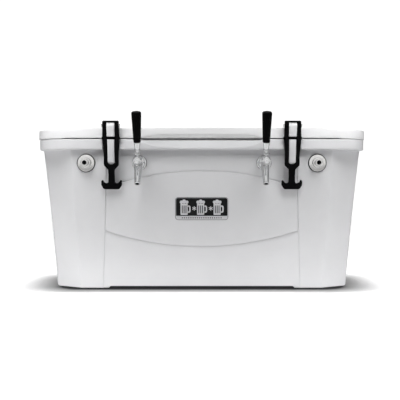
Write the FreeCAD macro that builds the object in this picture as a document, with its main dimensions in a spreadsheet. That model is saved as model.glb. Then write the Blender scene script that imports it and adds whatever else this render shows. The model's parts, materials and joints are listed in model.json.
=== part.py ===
import FreeCAD, Part
import math
import os
import re

import Sketcher

# A jockey box: an insulated beer cooler with two draught taps on its front, two beer
# inlets beside them, a cold plate inside, rubber latches and a lid hinged at the back.
#
# Frame: millimetres, the origin on the floor under the middle of the whole object, from
# the tap handles to the hinges, +Z up, -Y towards the side with the taps, +X to the right
# of someone facing the taps. Every piece is drawn about the middle of the tub, which
# TUB_MIDDLE puts in its place in that frame.

Vector = FreeCAD.Vector

# Every driving size: name, value (millimetres or degrees) and what it is.
SIZES = (
    # tub, outside
    ("wall_top", 386.2, "height of the underside of the rim"),
    ("rim_proud_side", 7, "how far the rim stands out of the tub's ends"),
    ("rim_proud_front", 20, "how far the rim stands out of the tub's front and back"),
    ("side_taper", 32, "how much each end draws in towards the floor"),
    ("front_taper", 26, "how much the front and the back draw in towards the floor"),
    ("top_facet_wide", 84.4, "width of a corner facet along the front, at the rim"),
    ("base_facet_wide", 78, "width of a corner facet along the front, at the floor"),
    ("facet_angle", 36, "angle of the corner facets to the front"),
    ("corner_round", 28, "rounding between facet and side"),
    ("crease_round", 5, "rounding between facet and front"),
    ("base_round", 5, "rounding of the bottom edge"),
    # rim
    ("rim_half_wide", 455, "half width of the rim"),
    ("rim_half_deep", 228, "half depth of the rim"),
    ("rim_tall", 28, "height of the rim band"),
    ("plan_corner", 60, "corner radius of rim and lid in plan"),
    ("rim_round", 2.5, "rounding of the rim's edges"),
    # ice well
    ("well_floor", 60, "height of the ice well's floor"),
    ("rim_wall_side", 63, "width of the rim's top at the ends"),
    ("rim_wall_front", 68, "width of the rim's top at the front and the back"),
    ("well_side_taper", 28, "how much the well's ends draw in towards its floor"),
    ("well_front_taper", 18, "how much the well's long walls draw in towards its floor"),
    ("well_corner", 40, "upright corner radius of the well"),
    ("well_floor_round", 10, "radius between the well's walls and floor"),
    # feet
    ("foot_stand", 0.5, "how far the rubber pads stand below the moulded feet"),
    ("foot_tall", 5.5, "height of the moulded feet's gap above the floor"),
    ("foot_long", 155, "length of a moulded foot along the front"),
    ("foot_wide", 77, "length of a moulded foot along the end"),
    ("foot_slope", 4, "slope of the feet's inner edges"),
    ("foot_pad_radius", 26, "radius of a rubber foot pad"),
    ("foot_pad_sunk", 4, "depth of the pad's pocket"),
    ("foot_pad_in", 86, "foot pad centre in from the tub's end"),
    ("foot_pad_ahead", 42, "foot pad centre in from the tub's front and back"),
    ("foot_pad_edge", 0.4, "bevel of a foot pad's lower edge"),
    # moulded front panel
    ("panel_deep", 2, "depth of the panel recess"),
    ("panel_beside_latch", 14.9, "panel's upper corner beyond the middle of a latch"),
    ("panel_flare", 12.2, "how much the panel widens on each side towards the floor"),
    ("pad_gap", 2.6, "groove between the raised pad and the panel's sides"),
    ("pad_below_rim", 105.2, "ends of the pad's upper arc below the rim"),
    ("pad_top_rise", 46, "rise of the upper arc to the middle"),
    ("pad_low_end", 162, "height of the pad's lower arc at its ends"),
    ("pad_low_drop", 43, "drop of the lower arc to the middle"),
    # finger scoop and end grips
    ("scoop_half", 168, "half width of the finger scoop"),
    ("scoop_drop", 20.6, "depth of the scoop into the rim"),
    ("scoop_rise", 8.6, "height of the scoop into the lid"),
    ("scoop_deep", 26, "how far the scoop goes in"),
    ("grip_half", 74, "half length of an end grip"),
    ("grip_tall", 54, "height of an end grip under the rim"),
    ("grip_deep", 24, "depth of an end grip"),
    ("grip_round", 18, "lower corners of an end grip"),
    # badge
    ("badge_half_wide", 73.5, "half width of the badge"),
    ("badge_half_tall", 31.75, "half height of the badge"),
    ("badge_round", 8, "corner radius of the badge"),
    ("badge_height", 223, "height of the badge's centre"),
    ("badge_thick", 1.6, "thickness of the badge"),
    ("badge_sunk", 0.9, "depth of its recess"),
    ("seat_gap", 0.2, "gap around inserts in their recesses"),
    # lid
    ("lid_proud_side", 2, "how far the lid stands out of the rim's ends"),
    ("lid_proud_front", 0.5, "how far the lid stands out of the rim's front and back"),
    ("lid_gap", 1, "gap between lid and rim"),
    ("lid_tall", 23.1, "height of the lid's edge"),
    ("deck_rise", 5.7, "rise of the lid's deck above its ends"),
    ("deck_end", 127, "length of the lid's lower ends and ramps"),
    ("deck_ramp", 23, "length of the ramp at the deck's ends"),
    ("lid_round", 4, "rounding of the lid's upper edge"),
    ("relief_end", 80, "shadow gap under the lid's front, in from the lid's ends"),
    ("relief_tall", 3.4, "height of the shadow gap"),
    ("relief_deep", 26, "depth of the shadow gap"),
    ("plug_tall", 18, "how far the lid's plug reaches into the well"),
    ("plug_gap", 6, "gap between plug and well"),
    ("seal_wide", 11, "width of the lid gasket"),
    ("seal_sunk", 4, "depth of the gasket's groove"),
    ("seal_out", 14, "gasket's inner edge outside the well's mouth"),
    ("seal_clear", 0.15, "gap between gasket and rim"),
    # rear hinge
    ("hinge_back", 9.5, "hinge axis behind the lid's rear face"),
    ("hinge_rise", 1.8, "hinge axis above the rim"),
    ("knuckle_radius", 9, "outer radius of the hinge knuckles"),
    ("knuckle_long", 28, "length of one knuckle"),
    ("knuckle_gap", 1, "gap between knuckles"),
    ("hinge_in", 215, "middle of each hinge in from the rim's end"),
    ("gusset_tall", 24, "height of the gussets that carry the knuckles"),
    ("rod_radius", 4, "radius of the hinge rods"),
    ("rod_clear", 0.06, "running clearance round rods and pins"),
    # latches
    ("latch_beside_inlet", 72.1, "from the middle of a latch to the beer inlet"),
    ("latch_tilt", 10.1, "lean of the closed strap"),
    ("latch_pin_ahead", 11.5, "latch pin ahead of the lid's front"),
    ("latch_pin_rise", 5.5, "latch pin above the lid's deck"),
    ("latch_pin_radius", 3, "radius of the latch pin"),
    ("lug_clear", 0.5, "gap between the lid's lug and the strap's eyes"),
    ("lug_radius", 7.5, "radius of the lug about the pin"),
    ("strap_thick", 9, "thickness of the strap"),
    ("strap_half_wide", 23.1, "half width of the strap"),
    ("strap_low_half_wide", 20.5, "half width of the strap below its window"),
    ("strap_top", 14, "top of the strap above the pin"),
    ("strap_top_round", 6, "upper corners of the strap"),
    ("strap_low_round", 7, "corners of the strap below its window"),
    ("strap_edge_round", 1.2, "rounding of the strap's edges"),
    ("eye_round", 1.5, "corners of the upper window"),
    ("eye_low", 31.3, "bottom of the upper window below the pin"),
    ("eye_half_wide", 12, "half width of the upper window"),
    ("window_top", 36.6, "top of the lower window below the pin"),
    ("window_low", 104.3, "bottom of the lower window below the pin"),
    ("window_half_wide", 10.1, "half width of the lower window"),
    ("window_round", 4.4, "lower corners of the lower window"),
    ("stem_top", 118.8, "where the stem starts, below the pin"),
    ("stem_half_wide", 8.4, "half width of the stem"),
    ("stem_round", 3.4, "corner between the stem and the T-handle"),
    ("tee_hollow_out", 9, "outer end of a hollow of the T-handle, beyond the stem"),
    ("tee_hollow_round", 5, "outer end's rounding of a hollow of the T-handle"),
    ("tee_tip_round", 2.6, "rounding of the T-handle's tips"),
    ("tee_top", 149.5, "tips of the T-handle below the pin"),
    ("tee_hollow", 156.8, "hollows of the T-handle below the pin"),
    ("tee_low", 174.7, "bottom of the T-handle below the pin"),
    ("tee_half_wide", 28.5, "half width of the T-handle"),
    ("tee_low_half_wide", 21, "half width of the T-handle's bottom"),
    ("strap_clear", 0.8, "gap between the strap and what it lies on"),
    ("keeper_side_clear", 0.7, "gap between the tub's keeper and the window's sides"),
    ("keeper_top_clear", 1.5, "gap between the keeper's top and the window's top"),
    ("keeper_low_clear", 2.7, "gap between the keeper's foot and the window's bottom"),
    ("keeper_undercut", 3.5, "slope of the keeper's foot, that the strap hooks under"),
    ("keeper_proud", 1.5, "how far the keeper stands out of the strap"),
    # taps
    ("tap_beside_latch", 75.5, "from a tap to the middle of the latch beside it"),
    ("tap_below_rim", 36.2, "shank's axis below the rim"),
    ("shank_radius", 11, "radius of the shank in the wall"),
    ("shank_flange_radius", 20, "radius of the shank's flange"),
    ("shank_flange_thick", 4, "thickness of the shank's flange"),
    ("shank_neck_radius", 14, "radius of the shank's front thread"),
    ("shank_neck_long", 18, "front end of the shank ahead of the wall"),
    ("shank_inside", 64, "inner end of the shank behind its seat"),
    ("shank_bore_radius", 5.5, "beer bore of the shank"),
    ("valve_bore_radius", 9, "room for the valve in the shank's front"),
    ("wall_clear", 0.3, "radial gap of fittings in the wall"),
    ("gasket_thick", 1.5, "thickness of the flat gaskets"),
    ("spot_clear", 1, "radial gap of fittings in their flats"),
    ("flat_deep", 0.4, "least depth of the flats that fittings seat on"),
    ("coupling_radius", 18.5, "radius of the coupling nut"),
    ("coupling_start", 8.5, "back of the coupling nut ahead of the wall"),
    ("coupling_end", 26, "front of the coupling nut ahead of the wall"),
    ("coupling_notch", 4.5, "width of the coupling nut's notches"),
    ("tube_radius", 11, "radius of the faucet's body"),
    ("front_ahead", 85, "front of the faucet's boss ahead of the wall"),
    ("boss_half", 13.5, "half diagonal of the lozenge-shaped boss"),
    ("boss_thick", 5, "thickness of the boss"),
    ("button_radius", 7, "radius of the round face on the boss"),
    ("shaft_bore_radius", 6.2, "bore of the faucet for the shaft"),
    ("shaft_radius", 3.2, "radius of the valve shaft"),
    ("guide_radius", 6.05, "radius of the shaft's guides"),
    ("block_radius", 5.2, "radius of the shaft's slotted block"),
    ("seat_ahead", 21, "valve seat ahead of the wall"),
    ("washer_radius", 7.6, "radius of the valve washer"),
    ("washer_thick", 3, "thickness of the valve washer"),
    ("pivot_ahead", 58, "lever pivot ahead of the wall"),
    ("pivot_rise", 11.5, "lever pivot above the shank's axis"),
    ("lever_lean", 20, "forward lean of the closed lever"),
    ("ball_radius", 6, "radius of the lever's ball"),
    ("bonnet_foot", 1.5, "foot of the bonnet below the pivot"),
    ("bonnet_top", 2.4, "top of the bonnet above the pivot"),
    ("lever_foot", 13.2, "foot of the lever below the pivot"),
    ("lever_foot_radius", 2.1, "radius of the lever's foot"),
    ("slot_wide", 5, "width of the shaft's slot for the lever"),
    ("bonnet_radius", 10.5, "radius of the bonnet over the ball"),
    ("spout_lean", 31, "forward lean of the spout"),
    ("spout_root_ahead", 31, "spout's axis ahead of the wall, at the shank's axis"),
    ("spout_long", 70, "length of the spout along its axis"),
    ("spout_top_radius", 9.5, "radius of the spout at its root"),
    ("spout_tip_radius", 7.3, "radius of the spout at its tip"),
    ("spout_bore_radius", 5.2, "bore of the spout"),
    ("neck_radius", 3.1, "radius of the lever's neck above its ball"),
    ("bead_radius", 8, "radius of the lever's beads"),
    ("bead_low", 9.8, "foot of the lower bead above the pivot"),
    ("bead_tall", 3.8, "height of the lower bead"),
    ("bead_edge", 1.2, "bevel of the beads"),
    ("waist_radius", 5, "radius of the waist between the beads"),
    ("waist_low", 14.6, "foot of the waist above the pivot"),
    ("waist_top", 20.6, "top of the waist above the pivot"),
    ("stud_radius", 3.6, "radius of the lever's stud in the handle"),
    ("stud_long", 12, "how far the stud reaches into the handle"),
    ("stud_clear", 0.05, "radial gap round the stud"),
    ("ferrule_start", 24.6, "foot of the ferrule above the pivot"),
    ("ferrule_end", 43.1, "top of the ferrule above the pivot"),
    ("ferrule_foot_radius", 6, "radius of the ferrule's foot"),
    ("ferrule_top_radius", 8.5, "radius of the ferrule's top"),
    ("handle_end", 126, "top of the handle above the pivot"),
    ("handle_foot_radius", 9, "radius of the handle's foot"),
    ("handle_top_radius", 13.25, "radius of the handle's top"),
    ("handle_round", 3.5, "rounding of the handle's top"),
    # beer inlets
    ("inlet_in", 43, "inlet in from where the front turns into the corner facet"),
    ("inlet_below_rim", 36.7, "inlet's axis below the rim"),
    ("inlet_gasket_radius", 26.5, "radius of the inlet's gasket"),
    ("inlet_flange_radius", 25.2, "radius of the inlet's flange"),
    ("inlet_flange_thick", 5, "thickness of the inlet's flange"),
    ("inlet_step_radius", 18, "radius of the inlet's second tier"),
    ("inlet_step_end", 17, "front of the second tier ahead of the wall"),
    ("inlet_stub_radius", 10, "radius of the inlet's stub"),
    ("inlet_stub_end", 33, "front of the stub ahead of the wall"),
    ("inlet_bore_radius", 5.5, "bore of the inlet"),
    # fittings inside
    ("nut_flats", 30, "width across flats of the nuts inside"),
    ("nut_thick", 9, "thickness of the nuts inside"),
    ("inner_flat_radius", 19, "radius of the flats inside the well"),
    ("tail_flats", 24, "width across flats of the tail nuts"),
    ("tail_grip", 8, "how far a tail nut laps its fitting"),
    ("tail_nut_long", 15, "length of a tail nut"),
    ("barb_radius", 4.2, "radius of the hose barbs"),
    ("barb_bore_radius", 2.8, "bore of the hose barbs"),
    ("barb_long", 28, "length of the hose barbs"),
    ("hose_radius", 6.5, "outer radius of the beer lines"),
    ("hose_bend", 58, "bend radius of the beer lines"),
    ("clamp_wide", 8, "width of a hose clamp"),
    ("clamp_thick", 1.4, "thickness of a hose clamp"),
    ("plate_half_long", 190, "half length of the cold plate"),
    ("plate_half_wide", 115, "half width of the cold plate"),
    ("plate_tall", 36, "height of the cold plate"),
    ("plate_corner", 14, "corner radius of the cold plate"),
    ("plate_fitting_flats", 16, "width across flats of the plate's fittings"),
    ("plate_fitting_tall", 9, "height of the plate's fittings"),
    ("line_back", 18, "upright runs of the beer lines ahead of the middle"),
    # drain
    ("drain_rise", 30, "drain's axis above the well's floor"),
    ("drain_recess_radius", 33, "radius of the recess round the drain"),
    ("drain_recess_deep", 20, "depth of that recess below the side wall"),
    ("drain_radius", 12, "radius of the drain tube in the wall"),
    ("drain_flange_radius", 21, "radius of the drain's flange"),
    ("drain_flange_thick", 3, "thickness of the drain's flange"),
    ("drain_spout_radius", 13, "radius of the drain's threaded spout"),
    ("drain_spout_end", 14, "end of the spout outside its seat"),
    ("drain_bore_radius", 8, "bore of the drain"),
    ("drain_inside", 50, "inner end of the drain behind its seat"),
    ("cap_radius", 17.5, "radius of the drain cap"),
    ("cap_wall", 3, "thickness of the cap's top"),
    ("cap_washer_thick", 1.5, "thickness of the washer in the cap"),
    ("cap_clear", 0.08, "running clearance of the cap on its spout"),
)

# Every size that follows from the driving ones: name, expression and what it is.
FOLLOWING = (
    ("top_half_wide", "rim_half_wide - rim_proud_side", "half width of the tub under the rim"),
    ("top_half_deep", "rim_half_deep - rim_proud_front", "half depth of the tub under the rim"),
    ("base_half_wide", "top_half_wide - side_taper", "half width of the tub at the floor"),
    ("base_half_deep", "top_half_deep - front_taper", "half depth of the tub at the floor"),
    ("top_crease_out", "top_half_wide - top_facet_wide", "where front and facet meet, at the rim"),
    ("base_crease_out", "base_half_wide - base_facet_wide", "where they meet at the floor"),
    ("well_top_half_wide", "rim_half_wide - rim_wall_side", "half width of the well's mouth"),
    ("well_top_half_deep", "rim_half_deep - rim_wall_front", "half depth of the well's mouth"),
    ("well_base_half_wide", "well_top_half_wide - well_side_taper", "half width of its floor"),
    ("well_base_half_deep", "well_top_half_deep - well_front_taper", "half depth of its floor"),
    ("foot_inner_out", "base_half_wide - foot_long", "inner edge of the feet, from the middle"),
    ("foot_inner_back", "base_half_deep - foot_wide", "inner edge of the feet, front to back"),
    ("foot_pad_out", "base_half_wide - foot_pad_in", "foot pad centre from the middle"),
    ("foot_pad_back", "base_half_deep - foot_pad_ahead", "foot pad centre, front to back"),
    ("inlet_out", "top_crease_out - inlet_in", "inlet from the middle"),
    ("latch_out", "inlet_out - latch_beside_inlet", "latch from the middle"),
    ("tap_out", "latch_out - tap_beside_latch", "tap from the middle"),
    ("hinge_out", "rim_half_wide - hinge_in", "middle of each hinge from the middle"),
    ("panel_top_half", "latch_out + panel_beside_latch", "half width of the panel under the rim"),
    ("panel_base_half", "panel_top_half + panel_flare", "half width of the panel at the floor"),
    ("pad_top_end", "wall_top - pad_below_rim", "height of the ends of the pad's upper arc"),
    ("tap_height", "wall_top - tap_below_rim", "height of the shanks"),
    ("inlet_height", "wall_top - inlet_below_rim", "height of the inlets"),
    ("drain_height", "well_floor + drain_rise", "height of the drain"),
    ("lid_half_wide", "rim_half_wide + lid_proud_side", "half width of the lid"),
    ("lid_half_deep", "rim_half_deep + lid_proud_front", "half depth of the lid"),
    ("deck_half", "lid_half_wide - deck_end", "half width of the lid's deck"),
    ("relief_half", "lid_half_wide - relief_end", "half width of the shadow gap"),
    ("eye_top", "lug_radius + strap_clear", "top of the strap's upper window above the pin"),
    ("lug_half_wide", "eye_half_wide - lug_clear", "half width of the lid's lug"),
    ("keeper_half_wide", "window_half_wide - keeper_side_clear", "half width of the keeper"),
)

NAMES = frozenset(name for name, value, note in SIZES)
FORMULAS = {name: formula for name, formula, note in FOLLOWING}
SIDES = (("left", -1), ("right", 1))
ENDS = ("-1", "1")

doc = FreeCAD.newDocument("jockey_box")
sheet = doc.addObject("Spreadsheet::Sheet", "sizes")
for row, (name, value, note) in enumerate(SIZES, start=1):
    sheet.set(f"A{row}", name)
    sheet.set(f"B{row}", str(value))
    sheet.set(f"C{row}", note)
    sheet.setAlias(f"B{row}", name)
doc.recompute()


# ---------------------------------------------------------------- binding to the sheet

def bound(text):
    """An expression in which every size's name points at its cell in the sheet, and
    every following size is written out."""
    def resolve(match):
        word = match[0]
        if word in FORMULAS:
            return f"({bound(FORMULAS[word])})"
        return f"sizes.{word}" if word in NAMES else word

    return re.sub(r"[a-z_]+", resolve, text)


def number(text):
    """The present value of an expression."""
    answer = sheet.evalExpression(bound(text))
    return float(getattr(answer, "Value", answer))


def bind(thing, prop, text):
    """Bind a property to an expression of the sheet's sizes."""
    thing.setExpression(prop, bound(text))


# Sizes that follow from the driving ones.
FRONT_SLOPE = "((top_half_deep - base_half_deep) / wall_top)"
SIDE_SLOPE = "((top_half_wide - base_half_wide) / wall_top)"
PANEL_SLOPE = "((panel_base_half - panel_top_half) / wall_top)"
RIM_TOP = "(wall_top + rim_tall)"
WELL_TALL = f"({RIM_TOP} - well_floor)"
WELL_SLOPE = f"((well_top_half_deep - well_base_half_deep) / {WELL_TALL})"
LID_LOW = f"({RIM_TOP} + lid_gap)"
LID_SHOULDER = f"({LID_LOW} + lid_tall)"
LID_TOP = f"({LID_SHOULDER} + deck_rise)"
HINGE_Y = "(lid_half_deep + hinge_back)"
HINGE_Z = f"({RIM_TOP} + hinge_rise)"
HINGE_LONG = "(5 * knuckle_long + 4 * knuckle_gap)"
PIN_Y = "(0 - lid_half_deep - latch_pin_ahead)"
PIN_Z = f"({LID_TOP} + latch_pin_rise)"
TAP_SEAT = (f"(base_half_deep + (tap_height - shank_flange_radius - spot_clear) * {FRONT_SLOPE}"
            " - panel_deep - flat_deep)")
INLET_SEAT = (f"(base_half_deep + (inlet_height - inlet_gasket_radius - spot_clear)"
              f" * {FRONT_SLOPE} - flat_deep)")
DRAIN_SEAT = f"(base_half_wide + drain_height * {SIDE_SLOPE} - drain_recess_deep)"
DRAIN_INNER = (f"(flat_deep + well_base_half_wide + (drain_height + inner_flat_radius - well_floor)"
               f" * (well_top_half_wide - well_base_half_wide) / {WELL_TALL})")
PLATE_TOP = "(well_floor + plate_tall)"
HANDLE_FLARE = ("atan((handle_top_radius - handle_foot_radius)"
                " / (handle_end - ferrule_end - stud_clear))")
HANDLE_CROWN = ("(handle_top_radius"
                f" - handle_round * (tan({HANDLE_FLARE}) + 1 / cos({HANDLE_FLARE})))")
HANDLE_REACH = (f"({TAP_SEAT} + pivot_ahead + (handle_end - handle_round) * sin(lever_lean)"
                f" + {HANDLE_CROWN} * cos(lever_lean) + handle_round)")
HINGE_REACH = f"({HINGE_Y} + knuckle_radius)"
TUB_MIDDLE = f"(({HANDLE_REACH} - {HINGE_REACH}) / 2)"
LINE_Y = "(0 - line_back)"


def well_wall(height):
    """Distance of the well's front wall from the middle at a height."""
    return f"(well_base_half_deep + ({height} - well_floor) * {WELL_SLOPE})"


PORT_INNER = f"({well_wall('(max(tap_height; inlet_height) + inner_flat_radius)')} + flat_deep)"


def strap_plane(height, ahead):
    """Y of a plane parallel to the closed strap, a distance ahead of its middle."""
    return (f"({PIN_Y} + ({PIN_Z} - {height}) * tan(latch_tilt)"
            f" - ({ahead}) / cos(latch_tilt))")


def arc_radius(half_chord, rise):
    """Radius of an arc over a chord, from half the chord and the arc's rise."""
    return f"((({half_chord})^2 + ({rise})^2) / (2 * ({rise})))"


# ---------------------------------------------------------------- bodies and drawings

def new_body(label):
    """A body whose label names its file, drawn about the middle of the tub."""
    body = doc.addObject("PartDesign::Body", f"{label}_body")
    body.Label = label
    place(body)
    return body


def new_shape(label, shape):
    """A piece with a shape of its own, drawn about the middle of the tub."""
    item = doc.addObject("Part::Feature", f"{label}_shape")
    item.Label = label
    item.Shape = shape
    item.Placement = FreeCAD.Placement(Vector(0, number(TUB_MIDDLE), 0), FreeCAD.Rotation())
    return item


def origin_plane(body, role):
    """One of a body's own origin planes."""
    return next(part for part in body.Origin.OriginFeatures if part.Role == role)


def place(body, x="0", y="0", z="0"):
    """Bind a body's position from the middle of the tub."""
    for axis, text in (("x", x), ("y", f"{TUB_MIDDLE} + {y}"), ("z", z)):
        bind(body, f"Placement.Base.{axis}", text)


class Drawing:
    """A sketch on a body's own plane, with every corner bound to the sheet.

    The planes read, across and up: XY_Plane x and y, XZ_Plane x and z (facing -Y),
    YZ_Plane y and z (facing +X).
    """

    def __init__(self, body, name, role, lift="0", shift=("0", "0"), tip=None, lean=None):
        """Attach the sketch, lifted off its plane, tipped about its own x axis or
        turned in its plane by lean."""
        self.sketch = body.newObject("Sketcher::SketchObject", name)
        self.sketch.AttachmentSupport = [(origin_plane(body, role), "")]
        self.sketch.MapMode = "FlatFace"
        for axis, text in (("x", shift[0]), ("y", shift[1]), ("z", lift)):
            bind(self.sketch, f"AttachmentOffset.Base.{axis}", text)
        if tip or lean:
            spin = Vector(1, 0, 0) if tip else Vector(0, 0, 1)
            angle = number(tip or lean)
            base = self.sketch.AttachmentOffset.Base
            self.sketch.AttachmentOffset = FreeCAD.Placement(base, FreeCAD.Rotation(spin, angle))
            bind(self.sketch, "AttachmentOffset.Rotation.Angle", tip or lean)

    def constrain(self, *parts):
        """Add a constraint; a last part that is text binds its value."""
        text = parts[-1] if isinstance(parts[-1], str) else None
        values = parts[:-1] + (number(text),) if text else parts
        index = self.sketch.addConstraint(Sketcher.Constraint(*values))
        if text:
            self.sketch.setExpression(f"Constraints[{index}]", bound(text))

    def loop(self, corners):
        """A closed outline of corners (across, up, rounding or None, arc or None).

        The arc of a corner is (radius, rise) of the edge that leaves it; a positive
        rise bulges to the right of the way along the outline.
        """
        rows = [tuple(corner) + (None,) * (4 - len(corner)) for corner in corners]
        points = [Vector(number(row[0]), number(row[1]), 0) for row in rows]
        first = self.sketch.GeometryCount
        count = len(points)
        for index, row in enumerate(rows):
            start, end = points[index], points[(index + 1) % count]
            edge = Part.LineSegment(start, end)
            if row[3]:
                along = end - start
                side = Vector(along.y, -along.x, 0).normalize()
                middle = (start + end) * 0.5 + side * number(row[3][1])
                edge = Part.Arc(start, middle, end)
            self.sketch.addGeometry(edge, False)
        turned = [self.arc_is_turned(first + index, points[index]) for index in range(count)]
        for index in range(count):
            after = (index + 1) % count
            end_of, start_of = (1 if turned[index] else 2), (2 if turned[after] else 1)
            self.constrain("Coincident", first + index, end_of, first + after, start_of)
        for index, row in enumerate(rows):
            corner = 2 if turned[index] else 1
            self.constrain("DistanceX", -1, 1, first + index, corner, row[0])
            self.constrain("DistanceY", -1, 1, first + index, corner, row[1])
            if row[3]:
                self.constrain("Radius", first + index, row[3][0])
        for index, row in enumerate(rows):
            if row[2]:
                arc = self.sketch.GeometryCount
                self.sketch.fillet(first + index, 1, number(row[2]), True, True)
                self.constrain("Radius", arc, row[2])
        return self

    def arc_is_turned(self, index, start):
        """Whether an edge keeps its ends the other way round, as some arcs do."""
        return (self.sketch.getPoint(index, 1) - start).Length > 1e-6

    def box(self, left, low, right, high, rounding=None):
        """A rectangle, with rounded corners if a radius is given."""
        return self.loop([(left, low, rounding), (right, low, rounding),
                          (right, high, rounding), (left, high, rounding)])

    def circle(self, across, up, radius):
        """A circle bound to its centre and radius."""
        index = self.sketch.GeometryCount
        centre = Vector(number(across), number(up), 0)
        self.sketch.addGeometry(Part.Circle(centre, Vector(0, 0, 1), number(radius)), False)
        self.constrain("DistanceX", -1, 1, index, 3, across)
        self.constrain("DistanceY", -1, 1, index, 3, up)
        self.constrain("Radius", index, radius)
        return self

    def hexagon(self, flats, across="0", up="0"):
        """A regular hexagon with two flats upright."""
        radius = f"(({flats}) / 2 / cos(30))"
        return self.loop([(f"{across} + {radius} * cos({turn})", f"{up} + {radius} * sin({turn})")
                          for turn in range(30, 390, 60)])


def feature(body, kind, name, drawing, **settings):
    """A PartDesign feature made from a drawing."""
    item = body.newObject(f"PartDesign::{kind}", name)
    if drawing is not None:
        item.Profile = drawing.sketch
        drawing.sketch.Visibility = False
    item.Refine = False
    for key, setting in settings.items():
        if isinstance(setting, str) and key == "Length":
            bind(item, key, setting)
        else:
            setattr(item, key, setting)
    return item


def pad(body, name, drawing, length, both=False, back=False):
    """Add material to one side of the drawing, or half to each side."""
    return feature(body, "Pad", name, drawing, Length=length, Reversed=back,
                   SideType="Symmetric" if both else "One side")


def cut(body, name, drawing, length, both=False, back=False):
    """Remove material behind the drawing, in front of it, or to both sides."""
    doc.recompute()
    before = body.Shape.Volume
    item = feature(body, "Pocket", name, drawing, Length=length, Reversed=back,
                   SideType="Symmetric" if both else "One side")
    doc.recompute()
    if not body.Shape.Volume < before:
        raise ValueError(f"{body.Label}: {name} cuts nothing")
    return item


def loft(body, kind, name, drawings):
    """A loft with straight sides from one drawing to the next."""
    sections = [drawing.sketch for drawing in drawings[1:]]
    return feature(body, kind, name, drawings[0], Sections=sections, Ruled=True)


def quarter_steps(radius):
    """Inset and height of three points on a quarter round, from its foot."""
    part = f"{radius} * (1 - cos(45))"
    return (("foot", radius, "0"), ("half", part, part), ("end", "0", radius))


def turn(body, name, drawing, axis="H_Axis", kind="Revolution"):
    """A full turn of the drawing about its own horizontal or vertical axis."""
    return feature(body, kind, name, drawing, ReferenceAxis=(drawing.sketch, [axis]), Angle=360)


def soften(body, name, radius, choose, kind="Fillet", size="Radius"):
    """Round (or bevel) the edges of a body that a test picks."""
    doc.recompute()
    base = body.Tip
    edges = [f"Edge{index}" for index, edge in enumerate(base.Shape.Edges, start=1) if choose(edge)]
    if not edges:
        raise ValueError(f"{body.Label}: {name} finds no edge")
    item = body.newObject(f"PartDesign::{kind}", name)
    item.Base = (base, edges)
    bind(item, size, radius)
    return item


def mirror(body, name, originals, role="YZ_Plane"):
    """Mirror features about one of the body's origin planes."""
    doc.recompute()
    item = body.newObject("PartDesign::Mirrored", name)
    item.Originals = originals
    item.MirrorPlane = (origin_plane(body, role), [""])
    body.Tip = item
    return item


def level(height, slack=0.01):
    """A test for edges that lie at one height."""
    def test(edge):
        box = edge.BoundBox
        return abs(box.ZMin - height) < slack and abs(box.ZMax - height) < slack
    return test


def beyond(half_wide, half_deep):
    """A test for edges that reach outside a rectangle in plan."""
    def test(edge):
        box = edge.BoundBox
        across = max(abs(box.XMin), abs(box.XMax))
        back = max(abs(box.YMin), abs(box.YMax))
        return across > half_wide + 1 or back > half_deep + 1
    return test


# ---------------------------------------------------------------- tub

def tub_section(body, name, height, inset="0"):
    """The tub's outline in plan at a height: flat sides with a facet across each
    corner. Its sides lean out evenly from the floor to the rim."""
    def lean(base, top):
        return f"({base} + ({top} - {base}) * {height} / wall_top)"

    half_wide = f"({lean('base_half_wide', 'top_half_wide')} - {inset})"
    half_deep = f"({lean('base_half_deep', 'top_half_deep')} - {inset})"
    crease = f"({lean('base_crease_out', 'top_crease_out')} - {inset} * tan(facet_angle / 2))"
    facet_end = f"({half_deep} - ({half_wide} - {crease}) * tan(facet_angle))"
    quarter = [(crease, half_deep, "crease_round"), (half_wide, facet_end, "corner_round")]
    corners = [(f"-{x}", f"-{y}", rounding) for x, y, rounding in reversed(quarter)]
    corners += [(x, f"-{y}", rounding) for x, y, rounding in quarter]
    corners += [(x, y, rounding) for x, y, rounding in reversed(quarter)]
    corners += [(f"-{x}", y, rounding) for x, y, rounding in quarter]
    return Drawing(body, name, "XY_Plane", lift=height).loop(corners)


def well_section(body, name, height, inset="0"):
    """The ice well's outline in plan at a height."""
    across = (f"(well_base_half_wide + (well_top_half_wide - well_base_half_wide)"
              f" * ({height} - well_floor) / {WELL_TALL} - {inset})")
    back = f"({well_wall(height)} - {inset})"
    return Drawing(body, name, "XY_Plane", lift=height).box(
        f"-{across}", f"-{back}", across, back, "well_corner")


def build_tub():
    """The insulated tub with its rim, feet, moulded front, grips, keepers and knuckles."""
    body = new_body("tub")
    sections = [tub_section(body, f"tub_{name}", f"(foot_stand + {rise})", inset)
                for name, inset, rise in quarter_steps("base_round")]
    sections.append(tub_section(body, "tub_top", "wall_top"))
    loft(body, "AdditiveLoft", "tub_shell", sections)
    rim = Drawing(body, "rim_plan", "XY_Plane", lift="wall_top")
    rim.box("-rim_half_wide", "-rim_half_deep", "rim_half_wide", "rim_half_deep", "plan_corner")
    pad(body, "rim", rim, "rim_tall")
    on_top = level(number(RIM_TOP))
    underneath = level(number("wall_top"))
    outside = beyond(number("top_half_wide"), number("top_half_deep"))
    soften(body, "rim_round", "rim_round",
           lambda edge: on_top(edge) or underneath(edge) and outside(edge))
    sections = [well_section(body, f"well_{name}", f"(well_floor + {rise})", inset)
                for name, inset, rise in quarter_steps("well_floor_round")]
    sections.append(well_section(body, "well_top", RIM_TOP))
    loft(body, "SubtractiveLoft", "well", sections)
    cut_ports(body)
    cut_feet(body)
    cut_front_panel(body)
    cut_grips(body)
    add_keepers(body)
    add_knuckles(body, "tub", 5, -1, f"({RIM_TOP} - 0.6)", "rim_half_deep")
    return body


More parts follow.
